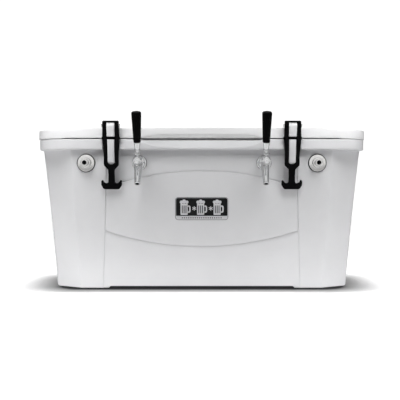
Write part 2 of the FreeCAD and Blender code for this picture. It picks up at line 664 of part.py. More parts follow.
def cut_feet(body):
    """Two shallow channels leave a foot at each corner, with a pocket for its pad."""
    for role, edge, far in (("XZ_Plane", "foot_inner_out", "rim_half_deep"),
                            ("YZ_Plane", "foot_inner_back", "rim_half_wide")):
        channel = Drawing(body, f"channel_{role[:2].lower()}", role)
        channel.loop([(f"-{edge}", "0"), (edge, "0"), (edge, "foot_stand"),
                      (f"{edge} - foot_slope", "foot_tall"), (f"foot_slope - {edge}", "foot_tall"),
                      (f"-{edge}", "foot_stand")])
        cut(body, f"foot_gap_{role[:2].lower()}", channel, f"2 * {far}", both=True)
    pockets = Drawing(body, "foot_pockets", "XY_Plane", lift="foot_stand")
    for x in ENDS:
        for y in ENDS:
            pockets.circle(f"{x} * foot_pad_out", f"{y} * foot_pad_back",
                           "foot_pad_radius + seat_gap")
    cut(body, "foot_pocket", pockets, "foot_pad_sunk", back=True)


def cut_front_panel(body):
    """A recessed front panel round a raised pad between two arcs, and the badge's seat."""
    tip = f"atan({FRONT_SLOPE})"
    along = f"/ cos({tip})"
    panel = Drawing(body, "panel", "XZ_Plane", lift="base_half_deep", tip=tip)
    panel.loop([("-panel_base_half", "0"), ("panel_base_half", "0"),
                ("panel_top_half", f"wall_top {along}"), ("-panel_top_half", f"wall_top {along}")])
    low_half = f"(panel_base_half - pad_low_end * {PANEL_SLOPE} - pad_gap)"
    top_half = f"(panel_base_half - pad_top_end * {PANEL_SLOPE} - pad_gap)"
    panel.loop([(f"-{low_half}", f"pad_low_end {along}", None,
                 (arc_radius(low_half, "pad_low_drop"), "pad_low_drop")),
                (low_half, f"pad_low_end {along}"),
                (top_half, f"pad_top_end {along}", None,
                 (arc_radius(top_half, "pad_top_rise"), "pad_top_rise")),
                (f"-{top_half}", f"pad_top_end {along}")])
    cut(body, "panel_recess", panel, "panel_deep")
    badge = Drawing(body, "badge_seat", "XZ_Plane", lift="base_half_deep", tip=tip)
    badge.box("-badge_half_wide - seat_gap", f"(badge_height - badge_half_tall) {along} - seat_gap",
              "badge_half_wide + seat_gap", f"(badge_height + badge_half_tall) {along} + seat_gap",
              "badge_round + seat_gap")
    cut(body, "badge_recess", badge, "badge_sunk")
    scoop = Drawing(body, "scoop_edge", "XZ_Plane", lift="rim_half_deep")
    scoop.loop([("-scoop_half", RIM_TOP, None, (arc_radius("scoop_half", "scoop_drop"), "scoop_drop")),
                ("scoop_half", RIM_TOP)])
    cut(body, "scoop", scoop, "scoop_deep")


def cut_grips(body):
    """A hand grip in each end, under the rim."""
    outline = Drawing(body, "grip_outline", "YZ_Plane", lift="top_half_wide + 1")
    outline.loop([("-grip_half", "wall_top - grip_tall", "grip_round"),
                  ("grip_half", "wall_top - grip_tall", "grip_round"),
                  ("grip_half", "wall_top"), ("-grip_half", "wall_top")])
    grip = cut(body, "grip", outline, "grip_deep + 1")
    mirror(body, "grip_other_end", [grip])


def add_keepers(body):
    """Notches behind the latch straps, and the keepers that the straps hook over."""
    behind = "-(strap_thick / 2 + strap_clear)"
    proud = "strap_thick / 2 + keeper_proud"
    front_limit = "(-rim_half_deep - 3)"
    notch = Drawing(body, "notch_side", "YZ_Plane", lift="latch_out")
    notch.loop([(strap_plane("wall_top", behind), "wall_top"), (front_limit, "wall_top"),
                (front_limit, f"{RIM_TOP} + 1"),
                (strap_plane(f"({RIM_TOP} + 1)", behind), f"{RIM_TOP} + 1")])
    notches = [cut(body, "latch_notch", notch, "2 * (strap_half_wide + strap_clear)", both=True)]
    mirror(body, "latch_notches", notches)
    top = f"({PIN_Z} - (window_top + keeper_top_clear) * cos(latch_tilt))"
    low = f"({PIN_Z} - (window_low - keeper_low_clear) * cos(latch_tilt))"
    root = "(10 - base_half_deep)"
    side = Drawing(body, "keeper_side", "YZ_Plane", lift="latch_out")
    side.loop([(strap_plane(low, proud), low), (root, f"{low} + keeper_undercut"), (root, top),
               (strap_plane(top, proud), top)])
    keeper = pad(body, "keeper", side, "2 * keeper_half_wide", both=True)
    mirror(body, "keepers", [keeper])


def add_knuckles(body, owner, slots, up, web_edge, face):
    """Every second knuckle of both hinges, on gussets, and the rods' bore."""
    step = "(knuckle_long + knuckle_gap)"
    barrel = Drawing(body, f"{owner}_barrel", "YZ_Plane", lift="hinge_out")
    barrel.circle(HINGE_Y, HINGE_Z, "knuckle_radius")
    web = Drawing(body, f"{owner}_web", "YZ_Plane", lift="hinge_out")
    web.loop([(f"{face} - 3", f"{web_edge} + {up} * gusset_tall"),
              (f"{HINGE_Y} + knuckle_radius * 0.8", f"{HINGE_Z} + {up} * knuckle_radius * 0.6"),
              (HINGE_Y, HINGE_Z), (f"{face} - 3", web_edge)])
    long = f"({slots} * {step} - knuckle_gap)"
    both_sides = [pad(body, f"{owner}_knuckles", barrel, long, both=True),
                  pad(body, f"{owner}_gussets", web, long, both=True)]
    mirror(body, f"{owner}_hinges", both_sides)
    gaps = Drawing(body, f"{owner}_hinge_gaps", "XZ_Plane", lift=f"0 - {face}")
    for sign in ENDS:
        for slot in range(1 - slots // 2, slots // 2, 2):
            middle = f"{sign} * (hinge_out + {slot} * {step})"
            reach = "(knuckle_long / 2 + knuckle_gap)"
            gaps.box(f"{middle} - {reach}", f"{HINGE_Z} - gusset_tall * 1.5",
                     f"{middle} + {reach}", f"{HINGE_Z} + gusset_tall * 1.5")
    cut(body, f"{owner}_hinge_gap", gaps, "hinge_back + 2 * knuckle_radius")
    bore = Drawing(body, f"{owner}_rod_bore", "YZ_Plane")
    bore.circle(HINGE_Y, HINGE_Z, "rod_radius + rod_clear")
    cut(body, f"{owner}_hinge_bore", bore, f"2 * (hinge_out + {HINGE_LONG})", both=True)


def cut_ports(body):
    """Holes and flats for the taps, the inlets and the drain."""
    holes = Drawing(body, "port_holes", "XZ_Plane", lift="rim_half_deep")
    inside = Drawing(body, "port_inner_flats", "XZ_Plane", lift=PORT_INNER)
    for name, out, height, seat, flat in (
            ("tap", "tap_out", "tap_height", TAP_SEAT, "shank_flange_radius"),
            ("inlet", "inlet_out", "inlet_height", INLET_SEAT, "inlet_gasket_radius")):
        outer = Drawing(body, f"{name}_flats", "XZ_Plane", lift="rim_half_deep")
        for end in ENDS:
            outer.circle(f"{end} * {out}", height, f"{flat} + spot_clear")
            holes.circle(f"{end} * {out}", height, "shank_radius + wall_clear")
            inside.circle(f"{end} * {out}", height, "inner_flat_radius")
        cut(body, f"{name}_flat", outer, f"rim_half_deep - {seat}")
    cut(body, "port_hole", holes, "rim_half_deep - well_base_half_deep + inner_flat_radius")
    cut(body, "port_inner_flat", inside, "inner_flat_radius")
    recess = Drawing(body, "drain_recess_ring", "YZ_Plane", lift="rim_half_wide")
    recess.circle("0", "drain_height", "drain_recess_radius")
    cut(body, "drain_recess", recess, f"rim_half_wide - {DRAIN_SEAT}")
    hole = Drawing(body, "drain_hole_ring", "YZ_Plane", lift="rim_half_wide")
    hole.circle("0", "drain_height", "drain_radius + wall_clear")
    cut(body, "drain_hole", hole, f"rim_half_wide - {DRAIN_INNER} + inner_flat_radius")
    inside = Drawing(body, "drain_inner_ring", "YZ_Plane", lift=DRAIN_INNER)
    inside.circle("0", "drain_height", "inner_flat_radius")
    cut(body, "drain_inner_flat", inside, "inner_flat_radius")


# ---------------------------------------------------------------- lid

def build_lid():
    """The lid: a raised deck between two lower ends, a plug, lugs and knuckles."""
    body = new_body("lid")
    plan = Drawing(body, "lid_plan", "XY_Plane", lift=LID_LOW)
    plan.box("-lid_half_wide", "-lid_half_deep", "lid_half_wide", "lid_half_deep", "plan_corner")
    pad(body, "lid_slab", plan, "lid_tall + deck_rise")
    ends = Drawing(body, "lid_ends", "XZ_Plane")
    for end in ENDS:
        ends.loop([(f"{end} * (lid_half_wide + 1)", LID_SHOULDER),
                   (f"{end} * (deck_half + deck_ramp)", LID_SHOULDER),
                   (f"{end} * deck_half", LID_TOP),
                   (f"{end} * deck_half", f"{LID_TOP} + 1"),
                   (f"{end} * (lid_half_wide + 1)", f"{LID_TOP} + 1")])
    cut(body, "lid_shoulders", ends, "2 * lid_half_deep + 2", both=True)
    lowest = number(LID_SHOULDER) - 0.01
    inner = number("lid_half_deep - plan_corner")
    soften(body, "lid_round", "lid_round",
           lambda edge: edge.BoundBox.ZMin > lowest
           and (edge.BoundBox.YMin > inner - 0.01 or edge.BoundBox.YMax < 0.01 - inner
                or edge.BoundBox.XMin > number("lid_half_wide") - 0.01
                or edge.BoundBox.XMax < 0.01 - number("lid_half_wide")))
    relief = Drawing(body, "lid_relief", "XZ_Plane", lift="lid_half_deep")
    relief.loop([("-relief_half", LID_LOW), ("relief_half", LID_LOW),
                 ("relief_half - relief_tall * 3", f"{LID_LOW} + relief_tall"),
                 ("relief_tall * 3 - relief_half", f"{LID_LOW} + relief_tall")])
    cut(body, "lid_shadow_gap", relief, "relief_deep")
    scoop = Drawing(body, "lid_scoop_edge", "XZ_Plane", lift="lid_half_deep")
    rise = "(relief_tall + scoop_rise)"
    scoop.loop([("scoop_half", LID_LOW, None, (arc_radius("scoop_half", rise), rise)),
                ("-scoop_half", LID_LOW)])
    cut(body, "lid_scoop", scoop, "relief_deep")
    plug = Drawing(body, "plug_plan", "XY_Plane", lift=LID_LOW)
    plug.box("plug_gap - well_top_half_wide", "plug_gap - well_top_half_deep",
             "well_top_half_wide - plug_gap", "well_top_half_deep - plug_gap",
             "well_corner - plug_gap")
    pad(body, "plug", plug, "plug_tall", back=True)
    groove = Drawing(body, "seal_plan", "XY_Plane", lift=LID_LOW)
    seal_rings(groove)
    cut(body, "seal_groove", groove, "seal_sunk", back=True)
    lug = Drawing(body, "lug_side", "YZ_Plane", lift="latch_out")
    lug.circle(PIN_Y, PIN_Z, "lug_radius")
    post = pad(body, "lug_post", lug, "2 * lug_half_wide", both=True)
    rib_side = Drawing(body, "rib_side", "YZ_Plane", lift="latch_out")
    rib_low = f"({LID_LOW} + 5)"
    rib_side.loop([("5 - lid_half_deep", rib_low),
                   (strap_plane(rib_low, "-strap_thick / 2"), rib_low),
                   (f"{PIN_Y} - lug_radius * 0.9", f"{PIN_Z} - lug_radius * 0.4"),
                   (PIN_Y, PIN_Z), (f"{PIN_Y} + lug_radius * 0.6", f"{PIN_Z} + lug_radius * 0.5"),
                   ("12 - lid_half_deep", f"{LID_TOP} - 2")])
    rib = pad(body, "lug_rib", rib_side, "2 * lug_half_wide", both=True)
    mirror(body, "lugs", [post, rib])
    add_knuckles(body, "lid", 3, 1, f"({LID_LOW} + 0.4)", "lid_half_deep")
    pin_bore = Drawing(body, "pin_bore", "YZ_Plane")
    pin_bore.circle(PIN_Y, PIN_Z, "latch_pin_radius + rod_clear / 2")
    cut(body, "latch_pin_bore", pin_bore, "2 * (latch_out + strap_half_wide)", both=True)
    return body


def seal_rings(drawing, inset="0"):
    """Outer and inner outline of the gasket and its groove, from the well's mouth."""
    for grow in (f"(seal_out + seal_wide - {inset})", f"(seal_out + {inset})"):
        drawing.box(f"-well_top_half_wide - {grow}", f"-well_top_half_deep - {grow}",
                    f"well_top_half_wide + {grow}", f"well_top_half_deep + {grow}",
                    f"well_corner + {grow}")


def build_seal():
    """The rubber gasket in the lid's underside."""
    body = new_body("lid_gasket")
    plan = Drawing(body, "gasket_plan", "XY_Plane", lift=f"{RIM_TOP} + seal_clear")
    seal_rings(plan, "seat_gap")
    pad(body, "gasket", plan, "lid_gap + seal_sunk - seal_clear")
    return body


# ---------------------------------------------------------------- latches and hinge rods

def build_strap(side, sign):
    """A rubber latch strap with two windows and a T-handle, about its pin."""
    body = new_body(f"latch_strap_{side}")
    face = Drawing(body, f"strap_face_{side}", "XZ_Plane")
    right = [("strap_half_wide", "strap_top", "strap_top_round"),
             ("strap_low_half_wide", "-window_low", "strap_low_round"),
             ("stem_half_wide", "-stem_top", "strap_top_round"),
             ("stem_half_wide", "-tee_hollow", "stem_round"),
             ("stem_half_wide + tee_hollow_out", "-tee_hollow", "tee_hollow_round"),
             ("tee_half_wide", "-tee_top", "tee_tip_round"),
             ("tee_low_half_wide", "-tee_low", "strap_low_round")]
    left = [(f"-({x})", z, r) for x, z, r in reversed(right)]
    face.loop(right + left)
    face.box("-eye_half_wide", "-eye_low", "eye_half_wide", "eye_top", "eye_round")
    face.loop([("-window_half_wide", "-window_low", "window_round"),
               ("window_half_wide", "-window_low", "window_round"),
               ("window_half_wide", "-window_top"), ("-window_half_wide", "-window_top")])
    pad(body, f"strap_{side}", face, "strap_thick", both=True)
    for end in ENDS:
        name = f"{side}_{'outer' if end == '1' else 'inner'}"
        middle = f"{end} * (strap_half_wide + eye_half_wide) / 2"
        eye = Drawing(body, f"eye_ring_{name}", "YZ_Plane", lift=middle)
        eye.circle("0", "0", "strap_thick / 2 + latch_pin_radius / 2")
        pad(body, f"eye_{name}", eye, "strap_half_wide - eye_half_wide", both=True)
    doc.recompute()
    half_thick = number("strap_thick") / 2
    soften(body, f"strap_round_{side}", "strap_edge_round",
           lambda edge: abs(abs(edge.BoundBox.YMin) - half_thick) < 0.01
           and edge.BoundBox.YLength < 0.01 and edge.BoundBox.ZMax < -number("eye_low") - 6
           and abs(edge.BoundBox.XMin) < number("tee_half_wide"))
    bore = Drawing(body, f"strap_bore_{side}", "YZ_Plane")
    bore.circle("0", "0", "latch_pin_radius + rod_clear")
    cut(body, f"pin_hole_{side}", bore, "2 * strap_half_wide + 2", both=True)
    body.Placement.Rotation = FreeCAD.Rotation(Vector(1, 0, 0), number("latch_tilt"))
    bind(body, "Placement.Rotation.Angle", "latch_tilt")
    place(body, f"{sign} * latch_out", PIN_Y, PIN_Z)
    return body


def build_latch_pin(side, sign):
    """The stainless pin that carries a strap, with a flat head at each end."""
    body = new_body(f"latch_pin_{side}")
    half = "(strap_half_wide + strap_clear)"
    profile = Drawing(body, f"pin_profile_{side}", "XZ_Plane")
    profile.loop([(f"-{half} - 1.5", "0"), (f"{half} + 1.5", "0"),
                  (f"{half} + 1.5", "latch_pin_radius + 1.6"), (half, "latch_pin_radius + 1.6"),
                  (half, "latch_pin_radius"), (f"-{half}", "latch_pin_radius"),
                  (f"-{half}", "latch_pin_radius + 1.6"),
                  (f"-{half} - 1.5", "latch_pin_radius + 1.6")])
    turn(body, f"latch_pin_turn_{side}", profile)
    place(body, f"{sign} * latch_out", PIN_Y, PIN_Z)
    return body


def build_hinge_rod(side, sign):
    """A stainless hinge rod with domed ends."""
    body = new_body(f"hinge_rod_{side}")
    half = f"({HINGE_LONG} / 2 + 2)"
    profile = Drawing(body, f"rod_profile_{side}", "XZ_Plane")
    profile.loop([(f"-{half}", "0"), (half, "0"), (half, "rod_radius - 1"),
                  (f"{half} - 1", "rod_radius"), (f"1 - {half}", "rod_radius"),
                  (f"-{half}", "rod_radius - 1")])
    turn(body, f"rod_turn_{side}", profile)
    place(body, f"{sign} * hinge_out", HINGE_Y, HINGE_Z)
    return body


# ---------------------------------------------------------------- taps
# Each piece is drawn with its tap's shank along its own Y axis, the wall's flat at
# y = 0 and the tap towards -Y, then placed on the wall.

def at_tap(body, sign):
    """Place a piece on its tap."""
    place(body, f"{sign} * tap_out", f"0 - {TAP_SEAT}", "tap_height")
    return body


def turned_piece(label, corners, tip_y="0", tip_z="0", lean=None, axis="H_Axis"):
    """A body made by one turn of an outline about its own axis."""
    body = new_body(label)
    profile = Drawing(body, f"{label}_profile", "YZ_Plane", shift=(tip_y, tip_z), lean=lean)
    profile.loop(corners)
    turn(body, f"{label}_turn", profile, axis)
    return body


def build_shank(side, sign):
    """The tap's shank through the wall, with its outer flange and its gasket."""
    front = "(0 - shank_neck_long)"
    room = "(0 - gasket_thick - 1)"
    flange = "(0 - gasket_thick - shank_flange_thick)"
    at_tap(turned_piece(f"shank_gasket_{side}", [
        ("-gasket_thick", "shank_radius + wall_clear"), ("0", "shank_radius + wall_clear"),
        ("0", "shank_flange_radius + 0.5"), ("-gasket_thick", "shank_flange_radius + 0.5")]), sign)
    at_tap(turned_piece(f"shank_{side}", [
        (front, "valve_bore_radius"), (room, "valve_bore_radius"),
        (room, "shank_bore_radius"), ("shank_inside", "shank_bore_radius"),
        ("shank_inside", "shank_radius"), ("-gasket_thick", "shank_radius"),
        ("-gasket_thick", "shank_flange_radius"),
        (f"{flange} + 1", "shank_flange_radius"), (flange, "shank_flange_radius - 1"),
        (flange, "shank_neck_radius"), (front, "shank_neck_radius")]), sign)


def build_nut(label, flats, thick, bore):
    """A hexagon nut with its bore along Y, lying behind y = 0."""
    body = new_body(label)
    face = Drawing(body, f"{label}_face", "XZ_Plane")
    face.hexagon(flats).circle("0", "0", bore)
    pad(body, f"{label}_pad", face, thick, back=True)
    return body


def build_tail(label):
    """A tail nut with its hose barb along +Y, lapping the fitting behind y = 0."""
    body = new_body(label)
    face = Drawing(body, f"{label}_face", "XZ_Plane", lift="tail_grip")
    face.hexagon("tail_flats")
    pad(body, f"{label}_hex", face, "tail_nut_long", back=True)
    socket = Drawing(body, f"{label}_socket", "XZ_Plane", lift="tail_grip")
    socket.circle("0", "0", "shank_radius + 0.05")
    cut(body, f"{label}_thread", socket, "tail_grip")
    end = "(tail_nut_long - tail_grip)"
    add_barb(body, label, end, "barb_long")
    return body


def add_barb(body, label, start, long):
    """A hose barb along +Y: three saw-tooth rings, with the bore through the fitting."""
    profile = Drawing(body, f"{label}_barb_profile", "YZ_Plane")
    tooth = f"({long} / 4)"
    corners = [(f"{start} - 1", "0"), (f"{start} - 1", "barb_radius - 0.5")]
    for ring in (1, 2, 3):
        corners += [(f"{start} + {ring} * {tooth}", "barb_radius - 0.5"),
                    (f"{start} + {ring} * {tooth}", "barb_radius")]
    corners += [(f"{start} + {long}", "barb_radius - 0.7"), (f"{start} + {long}", "0")]
    profile.loop(corners)
    turn(body, f"{label}_barb", profile)
    bore = Drawing(body, f"{label}_bore_ring", "XZ_Plane", lift=f"0 - {start} - {long}")
    bore.circle("0", "0", "barb_bore_radius")
    cut(body, f"{label}_bore", bore, f"{long} + {start} + 2", back=True)


def build_coupling(side, sign):
    """The coupling nut that holds the faucet on its shank, with spanner notches."""
    lip = "(0 - coupling_end + 2.6)"
    body = turned_piece(f"coupling_nut_{side}", [
        ("-coupling_start", "shank_neck_radius + 0.05"), ("-coupling_start", "coupling_radius - 1.5"),
        ("-coupling_start - 1.5", "coupling_radius"),
        ("1.5 - coupling_end", "coupling_radius"), ("-coupling_end", "coupling_radius - 1.5"),
        ("-coupling_end", "tube_radius + 0.2"), (lip, "tube_radius + 0.2"),
        (lip, "shank_neck_radius + 0.05")])
    notch = Drawing(body, f"notch_{side}", "XZ_Plane", lift="coupling_end")
    notch.box("-coupling_notch / 2", "coupling_radius - 2", "coupling_notch / 2", "coupling_radius + 1")
    first = cut(body, f"notch_cut_{side}", notch, "coupling_end - coupling_start - 4")
    ring = body.newObject("PartDesign::PolarPattern", f"notches_{side}")
    ring.Originals = [first]
    ring.Axis = (notch.sketch, ["N_Axis"])
    ring.Angle = 360
    ring.Occurrences = 6
    body.Tip = ring
    return at_tap(body, sign)


def build_faucet(side, sign):
    """The faucet's body: tube, lozenge boss, spout and collar, bored for its valve."""
    back = "(0 - shank_neck_long)"
    flange_end = "(0 - coupling_end + 2.8)"
    boss = "(0 - front_ahead + boss_thick)"
    body = turned_piece(f"faucet_body_{side}", [
        (back, "0"), (back, "shank_neck_radius - 0.4"), (flange_end, "shank_neck_radius - 0.4"),
        (flange_end, "tube_radius"), ("-pivot_ahead - 12", "tube_radius"),
        (f"{boss} + 4", "tube_radius - 2"), (boss, "tube_radius - 2"), (boss, "0")])
    collar = Drawing(body, f"collar_profile_{side}", "YZ_Plane",
                     shift=("-pivot_ahead", "pivot_rise"), lean="lever_lean")
    collar.loop([("0", "-pivot_rise"), ("bonnet_radius - 1.2", "-pivot_rise"),
                 ("bonnet_radius - 1.2", "-bonnet_foot"), ("0", "-bonnet_foot")])
    turn(body, f"collar_{side}", collar, "V_Axis")
    spout = Drawing(body, f"spout_profile_{side}", "YZ_Plane",
                    shift=("-spout_root_ahead", "0"), lean="-spout_lean")
    spout.loop([("0", "-spout_long"), ("spout_tip_radius", "-spout_long"),
                ("spout_tip_radius", "3 - spout_long"), ("spout_top_radius", "-tube_radius"),
                ("spout_top_radius", "0"), ("0", "0")])
    turn(body, f"spout_{side}", spout, "V_Axis")
    lozenge = Drawing(body, f"lozenge_{side}", "XZ_Plane", lift="front_ahead - boss_thick - 0.5")
    lozenge.loop([("0", "-boss_half", "3"), ("boss_half", "0", "3"), ("0", "boss_half", "3"),
                  ("-boss_half", "0", "3")])
    pad(body, f"boss_{side}", lozenge, "boss_thick - 1")
    button = Drawing(body, f"button_{side}", "XZ_Plane", lift="front_ahead - 2")
    button.circle("0", "0", "button_radius")
    pad(body, f"button_face_{side}", button, "2")
    cut_faucet_bores(body, side)
    return at_tap(body, sign)


def cut_faucet_bores(body, side):
    """The shaft's chamber with the valve seat, the spout's bore, the vent and the
    slot in which the lever's foot swings."""
    chamber = Drawing(body, f"chamber_{side}", "YZ_Plane")
    back = "(1 - shank_neck_long)"
    chamber.loop([(back, "0"), (back, "washer_radius + 0.6"), ("-seat_ahead", "washer_radius + 0.6"),
                  ("-seat_ahead", "shaft_bore_radius"), ("8 - front_ahead", "shaft_bore_radius"),
                  ("8 - front_ahead", "0")])
    turn(body, f"shaft_bore_{side}", chamber, kind="Groove")
    bore = Drawing(body, f"spout_bore_{side}", "YZ_Plane",
                   shift=("-spout_root_ahead", "0"), lean="-spout_lean")
    bore.loop([("0", "-spout_long - 1"), ("spout_bore_radius", "-spout_long - 1"),
               ("spout_bore_radius", "0"), ("0", "0")])
    turn(body, f"spout_hole_{side}", bore, "V_Axis", kind="Groove")
    vent = Drawing(body, f"vent_{side}", "XZ_Plane", lift="pivot_ahead")
    vent.circle("0", "-tube_radius - 4.5", "1.3")
    cut(body, f"vent_hole_{side}", vent, "pivot_ahead - spout_root_ahead - spout_bore_radius")
    seat = Drawing(body, f"bonnet_seat_{side}", "YZ_Plane",
                   shift=("-pivot_ahead", "pivot_rise"), lean="lever_lean")
    seat.loop([("0", "-bonnet_foot"), ("bonnet_radius + 0.05", "-bonnet_foot"),
               ("bonnet_radius + 0.05", "ball_radius"), ("0", "ball_radius")])
    turn(body, f"bonnet_flat_{side}", seat, "V_Axis", kind="Groove")
    slot = Drawing(body, f"slot_{side}", "YZ_Plane")
    slot.loop([("-pivot_ahead - 4", "0"), ("-pivot_ahead + 16", "0"),
               ("-pivot_ahead + 16", "shaft_bore_radius - 1"),
               ("-pivot_ahead + 8", "pivot_rise - 2"), ("-pivot_ahead + ball_radius + 0.3", "pivot_rise + 4"),
               ("-pivot_ahead - ball_radius - 0.3", "pivot_rise + 4")])
    cut(body, f"lever_slot_{side}", slot, "2 * ball_radius + 0.6", both=True)


def build_bonnet(side, sign):
    """The screwed bonnet that keeps the lever's ball in the faucet's collar."""
    low = "(0.05 - bonnet_foot)"
    body = turned_piece(f"bonnet_{side}", [
        ("ball_radius + 0.3", low), ("bonnet_radius", low),
        ("bonnet_radius", "bonnet_top - 1"), ("bonnet_radius - 1.2", "bonnet_top"),
        ("ball_radius - 0.2", "bonnet_top"), ("ball_radius + 0.3", "0.4")],
        "-pivot_ahead", "pivot_rise", "lever_lean", "V_Axis")
    return at_tap(body, sign)


def build_valve(side, sign):
    """The valve shaft with its guides and slot block, and its rubber washer."""
    seat = "(0 - seat_ahead)"
    front = "(10 - front_ahead)"
    foot = "((pivot_rise + 1) * tan(lever_lean) - pivot_ahead)"
    shaft = turned_piece(f"faucet_shaft_{side}", [
        (f"{seat} + washer_thick + 1.5", "0"), (f"{seat} + washer_thick + 1.5", "washer_radius - 2.4"),
        (f"{seat} + washer_thick + 0.05", "washer_radius - 2.4"),
        (f"{seat} + washer_thick + 0.05", "shaft_radius"),
        (f"{foot} + 8", "shaft_radius"), (f"{foot} + 8", "guide_radius"),
        (f"{foot} + 5.5", "guide_radius"), (f"{foot} + 5.5", "block_radius"),
        (f"{foot} - 13", "block_radius"), (f"{foot} - 13", "shaft_radius"),
        (f"{front} + 3", "shaft_radius"), (f"{front} + 3", "guide_radius"),
        (front, "guide_radius"), (front, "0")])
    slot = Drawing(shaft, f"shaft_slot_{side}", "YZ_Plane")
    slot.box(f"{foot} - 10.5", "-lever_foot_radius - 1.4", f"{foot} + 5", "guide_radius + 1")
    cut(shaft, f"shaft_slot_cut_{side}", slot, "slot_wide", both=True)
    at_tap(shaft, sign)
    washer = turned_piece(f"valve_washer_{side}", [
        (f"{seat} + 0.05", "shaft_radius + 0.05"), (f"{seat} + washer_thick", "shaft_radius + 0.05"),
        (f"{seat} + washer_thick", "washer_radius - 0.8"),
        (f"{seat} + 0.05", "washer_radius")])
    at_tap(washer, sign)


def build_lever(side, sign):
    """The lever: ball, foot, beads, and on it the ferrule and the tap handle."""
    where = ("-pivot_ahead", "pivot_rise", "lever_lean", "V_Axis")
    low = "-sqrt(ball_radius^2 - lever_foot_radius^2)"
    high = "sqrt(ball_radius^2 - neck_radius^2)"
    half_chord = f"(sqrt(({high} - ({low}))^2 + (neck_radius - lever_foot_radius)^2) / 2)"
    bulge = f"(ball_radius - sqrt(ball_radius^2 - {half_chord}^2))"
    bead_top = "(bead_low + bead_tall)"
    seat = "(ferrule_start - stud_clear)"
    lever = turned_piece(f"faucet_lever_{side}", [
        ("0", "-lever_foot"), ("lever_foot_radius - 0.3", "-lever_foot"),
        ("lever_foot_radius", "0.5 - lever_foot"),
        ("lever_foot_radius", low, None, ("ball_radius", bulge)), ("neck_radius", high),
        ("neck_radius", "bead_low"), ("bead_radius - bead_edge", "bead_low"),
        ("bead_radius", "bead_low + bead_edge"), ("bead_radius", f"{bead_top} - bead_edge"),
        ("bead_radius - bead_edge", bead_top), ("waist_radius", "waist_low"),
        ("waist_radius", "waist_top"), ("bead_radius - bead_edge", "waist_top + 0.6"),
        ("bead_radius", "waist_top + 1.6"), ("bead_radius", f"{seat} - 1.4"),
        ("bead_radius - 1", seat), ("stud_radius", seat),
        ("stud_radius", "ferrule_end + stud_long"), ("0", "ferrule_end + stud_long")],
        *where)
    at_tap(lever, sign)
    ferrule = turned_piece(f"tap_ferrule_{side}", [
        ("stud_radius + stud_clear", "ferrule_start"), ("ferrule_foot_radius", "ferrule_start"),
        ("ferrule_top_radius", "ferrule_end - 3"), ("ferrule_top_radius", "ferrule_end"),
        ("stud_radius + stud_clear", "ferrule_end")], *where)
    at_tap(ferrule, sign)
    socket = "(ferrule_end + stud_long)"
    handle = turned_piece(f"tap_handle_{side}", [
        ("0", f"{socket} + 2"), ("stud_radius + stud_clear", f"{socket} + 2"),
        ("stud_radius + stud_clear", "ferrule_end + stud_clear"),
        ("handle_foot_radius", "ferrule_end + stud_clear"),
        ("handle_top_radius", "handle_end", "handle_round"), ("0", "handle_end")], *where)
    at_tap(handle, sign)


# ---------------------------------------------------------------- inlets and drain

def build_inlet(side, sign):
    """A beer inlet: gasket, stepped fitting, and the nut and tail inside."""
    flange = "(0 - gasket_thick - inlet_flange_thick)"
    step = "(0 - inlet_step_end)"
    pieces = [turned_piece(f"inlet_gasket_{side}", [
        ("-gasket_thick", "shank_radius + wall_clear"), ("0", "shank_radius + wall_clear"),
        ("0", "inlet_gasket_radius"), ("-gasket_thick", "inlet_gasket_radius")])]
    pieces.append(turned_piece(f"inlet_fitting_{side}", [
        ("-inlet_stub_end", "inlet_bore_radius"), ("shank_inside", "inlet_bore_radius"),
        ("shank_inside", "shank_radius"), ("-gasket_thick", "shank_radius"),
        ("-gasket_thick", "inlet_flange_radius"), (f"{flange} + 1.5", "inlet_flange_radius"),
        (flange, "inlet_flange_radius - 1.5"), (flange, "inlet_step_radius"),
        (f"{step} + 1.5", "inlet_step_radius"), (step, "inlet_step_radius - 1.5"),
        (step, "inlet_stub_radius"), ("2 - inlet_stub_end", "inlet_stub_radius"),
        ("-inlet_stub_end", "inlet_stub_radius - 1.2")]))
    for piece in pieces:
        place(piece, f"{sign} * inlet_out", f"0 - {INLET_SEAT}", "inlet_height")


def build_inner_fittings(side, sign):
    """Nuts and tails inside the well, behind each tap and each inlet."""
    for name, out, height, seat in (("shank", "tap_out", "tap_height", TAP_SEAT),
                                    ("inlet", "inlet_out", "inlet_height", INLET_SEAT)):
        nut = build_nut(f"{name}_nut_{side}", "nut_flats", "nut_thick", "shank_radius + 0.05")
        place(nut, f"{sign} * {out}", f"0 - {PORT_INNER}", height)
        tail = build_tail(f"{name}_tail_{side}")
        place(tail, f"{sign} * {out}", f"shank_inside - {seat}", height)


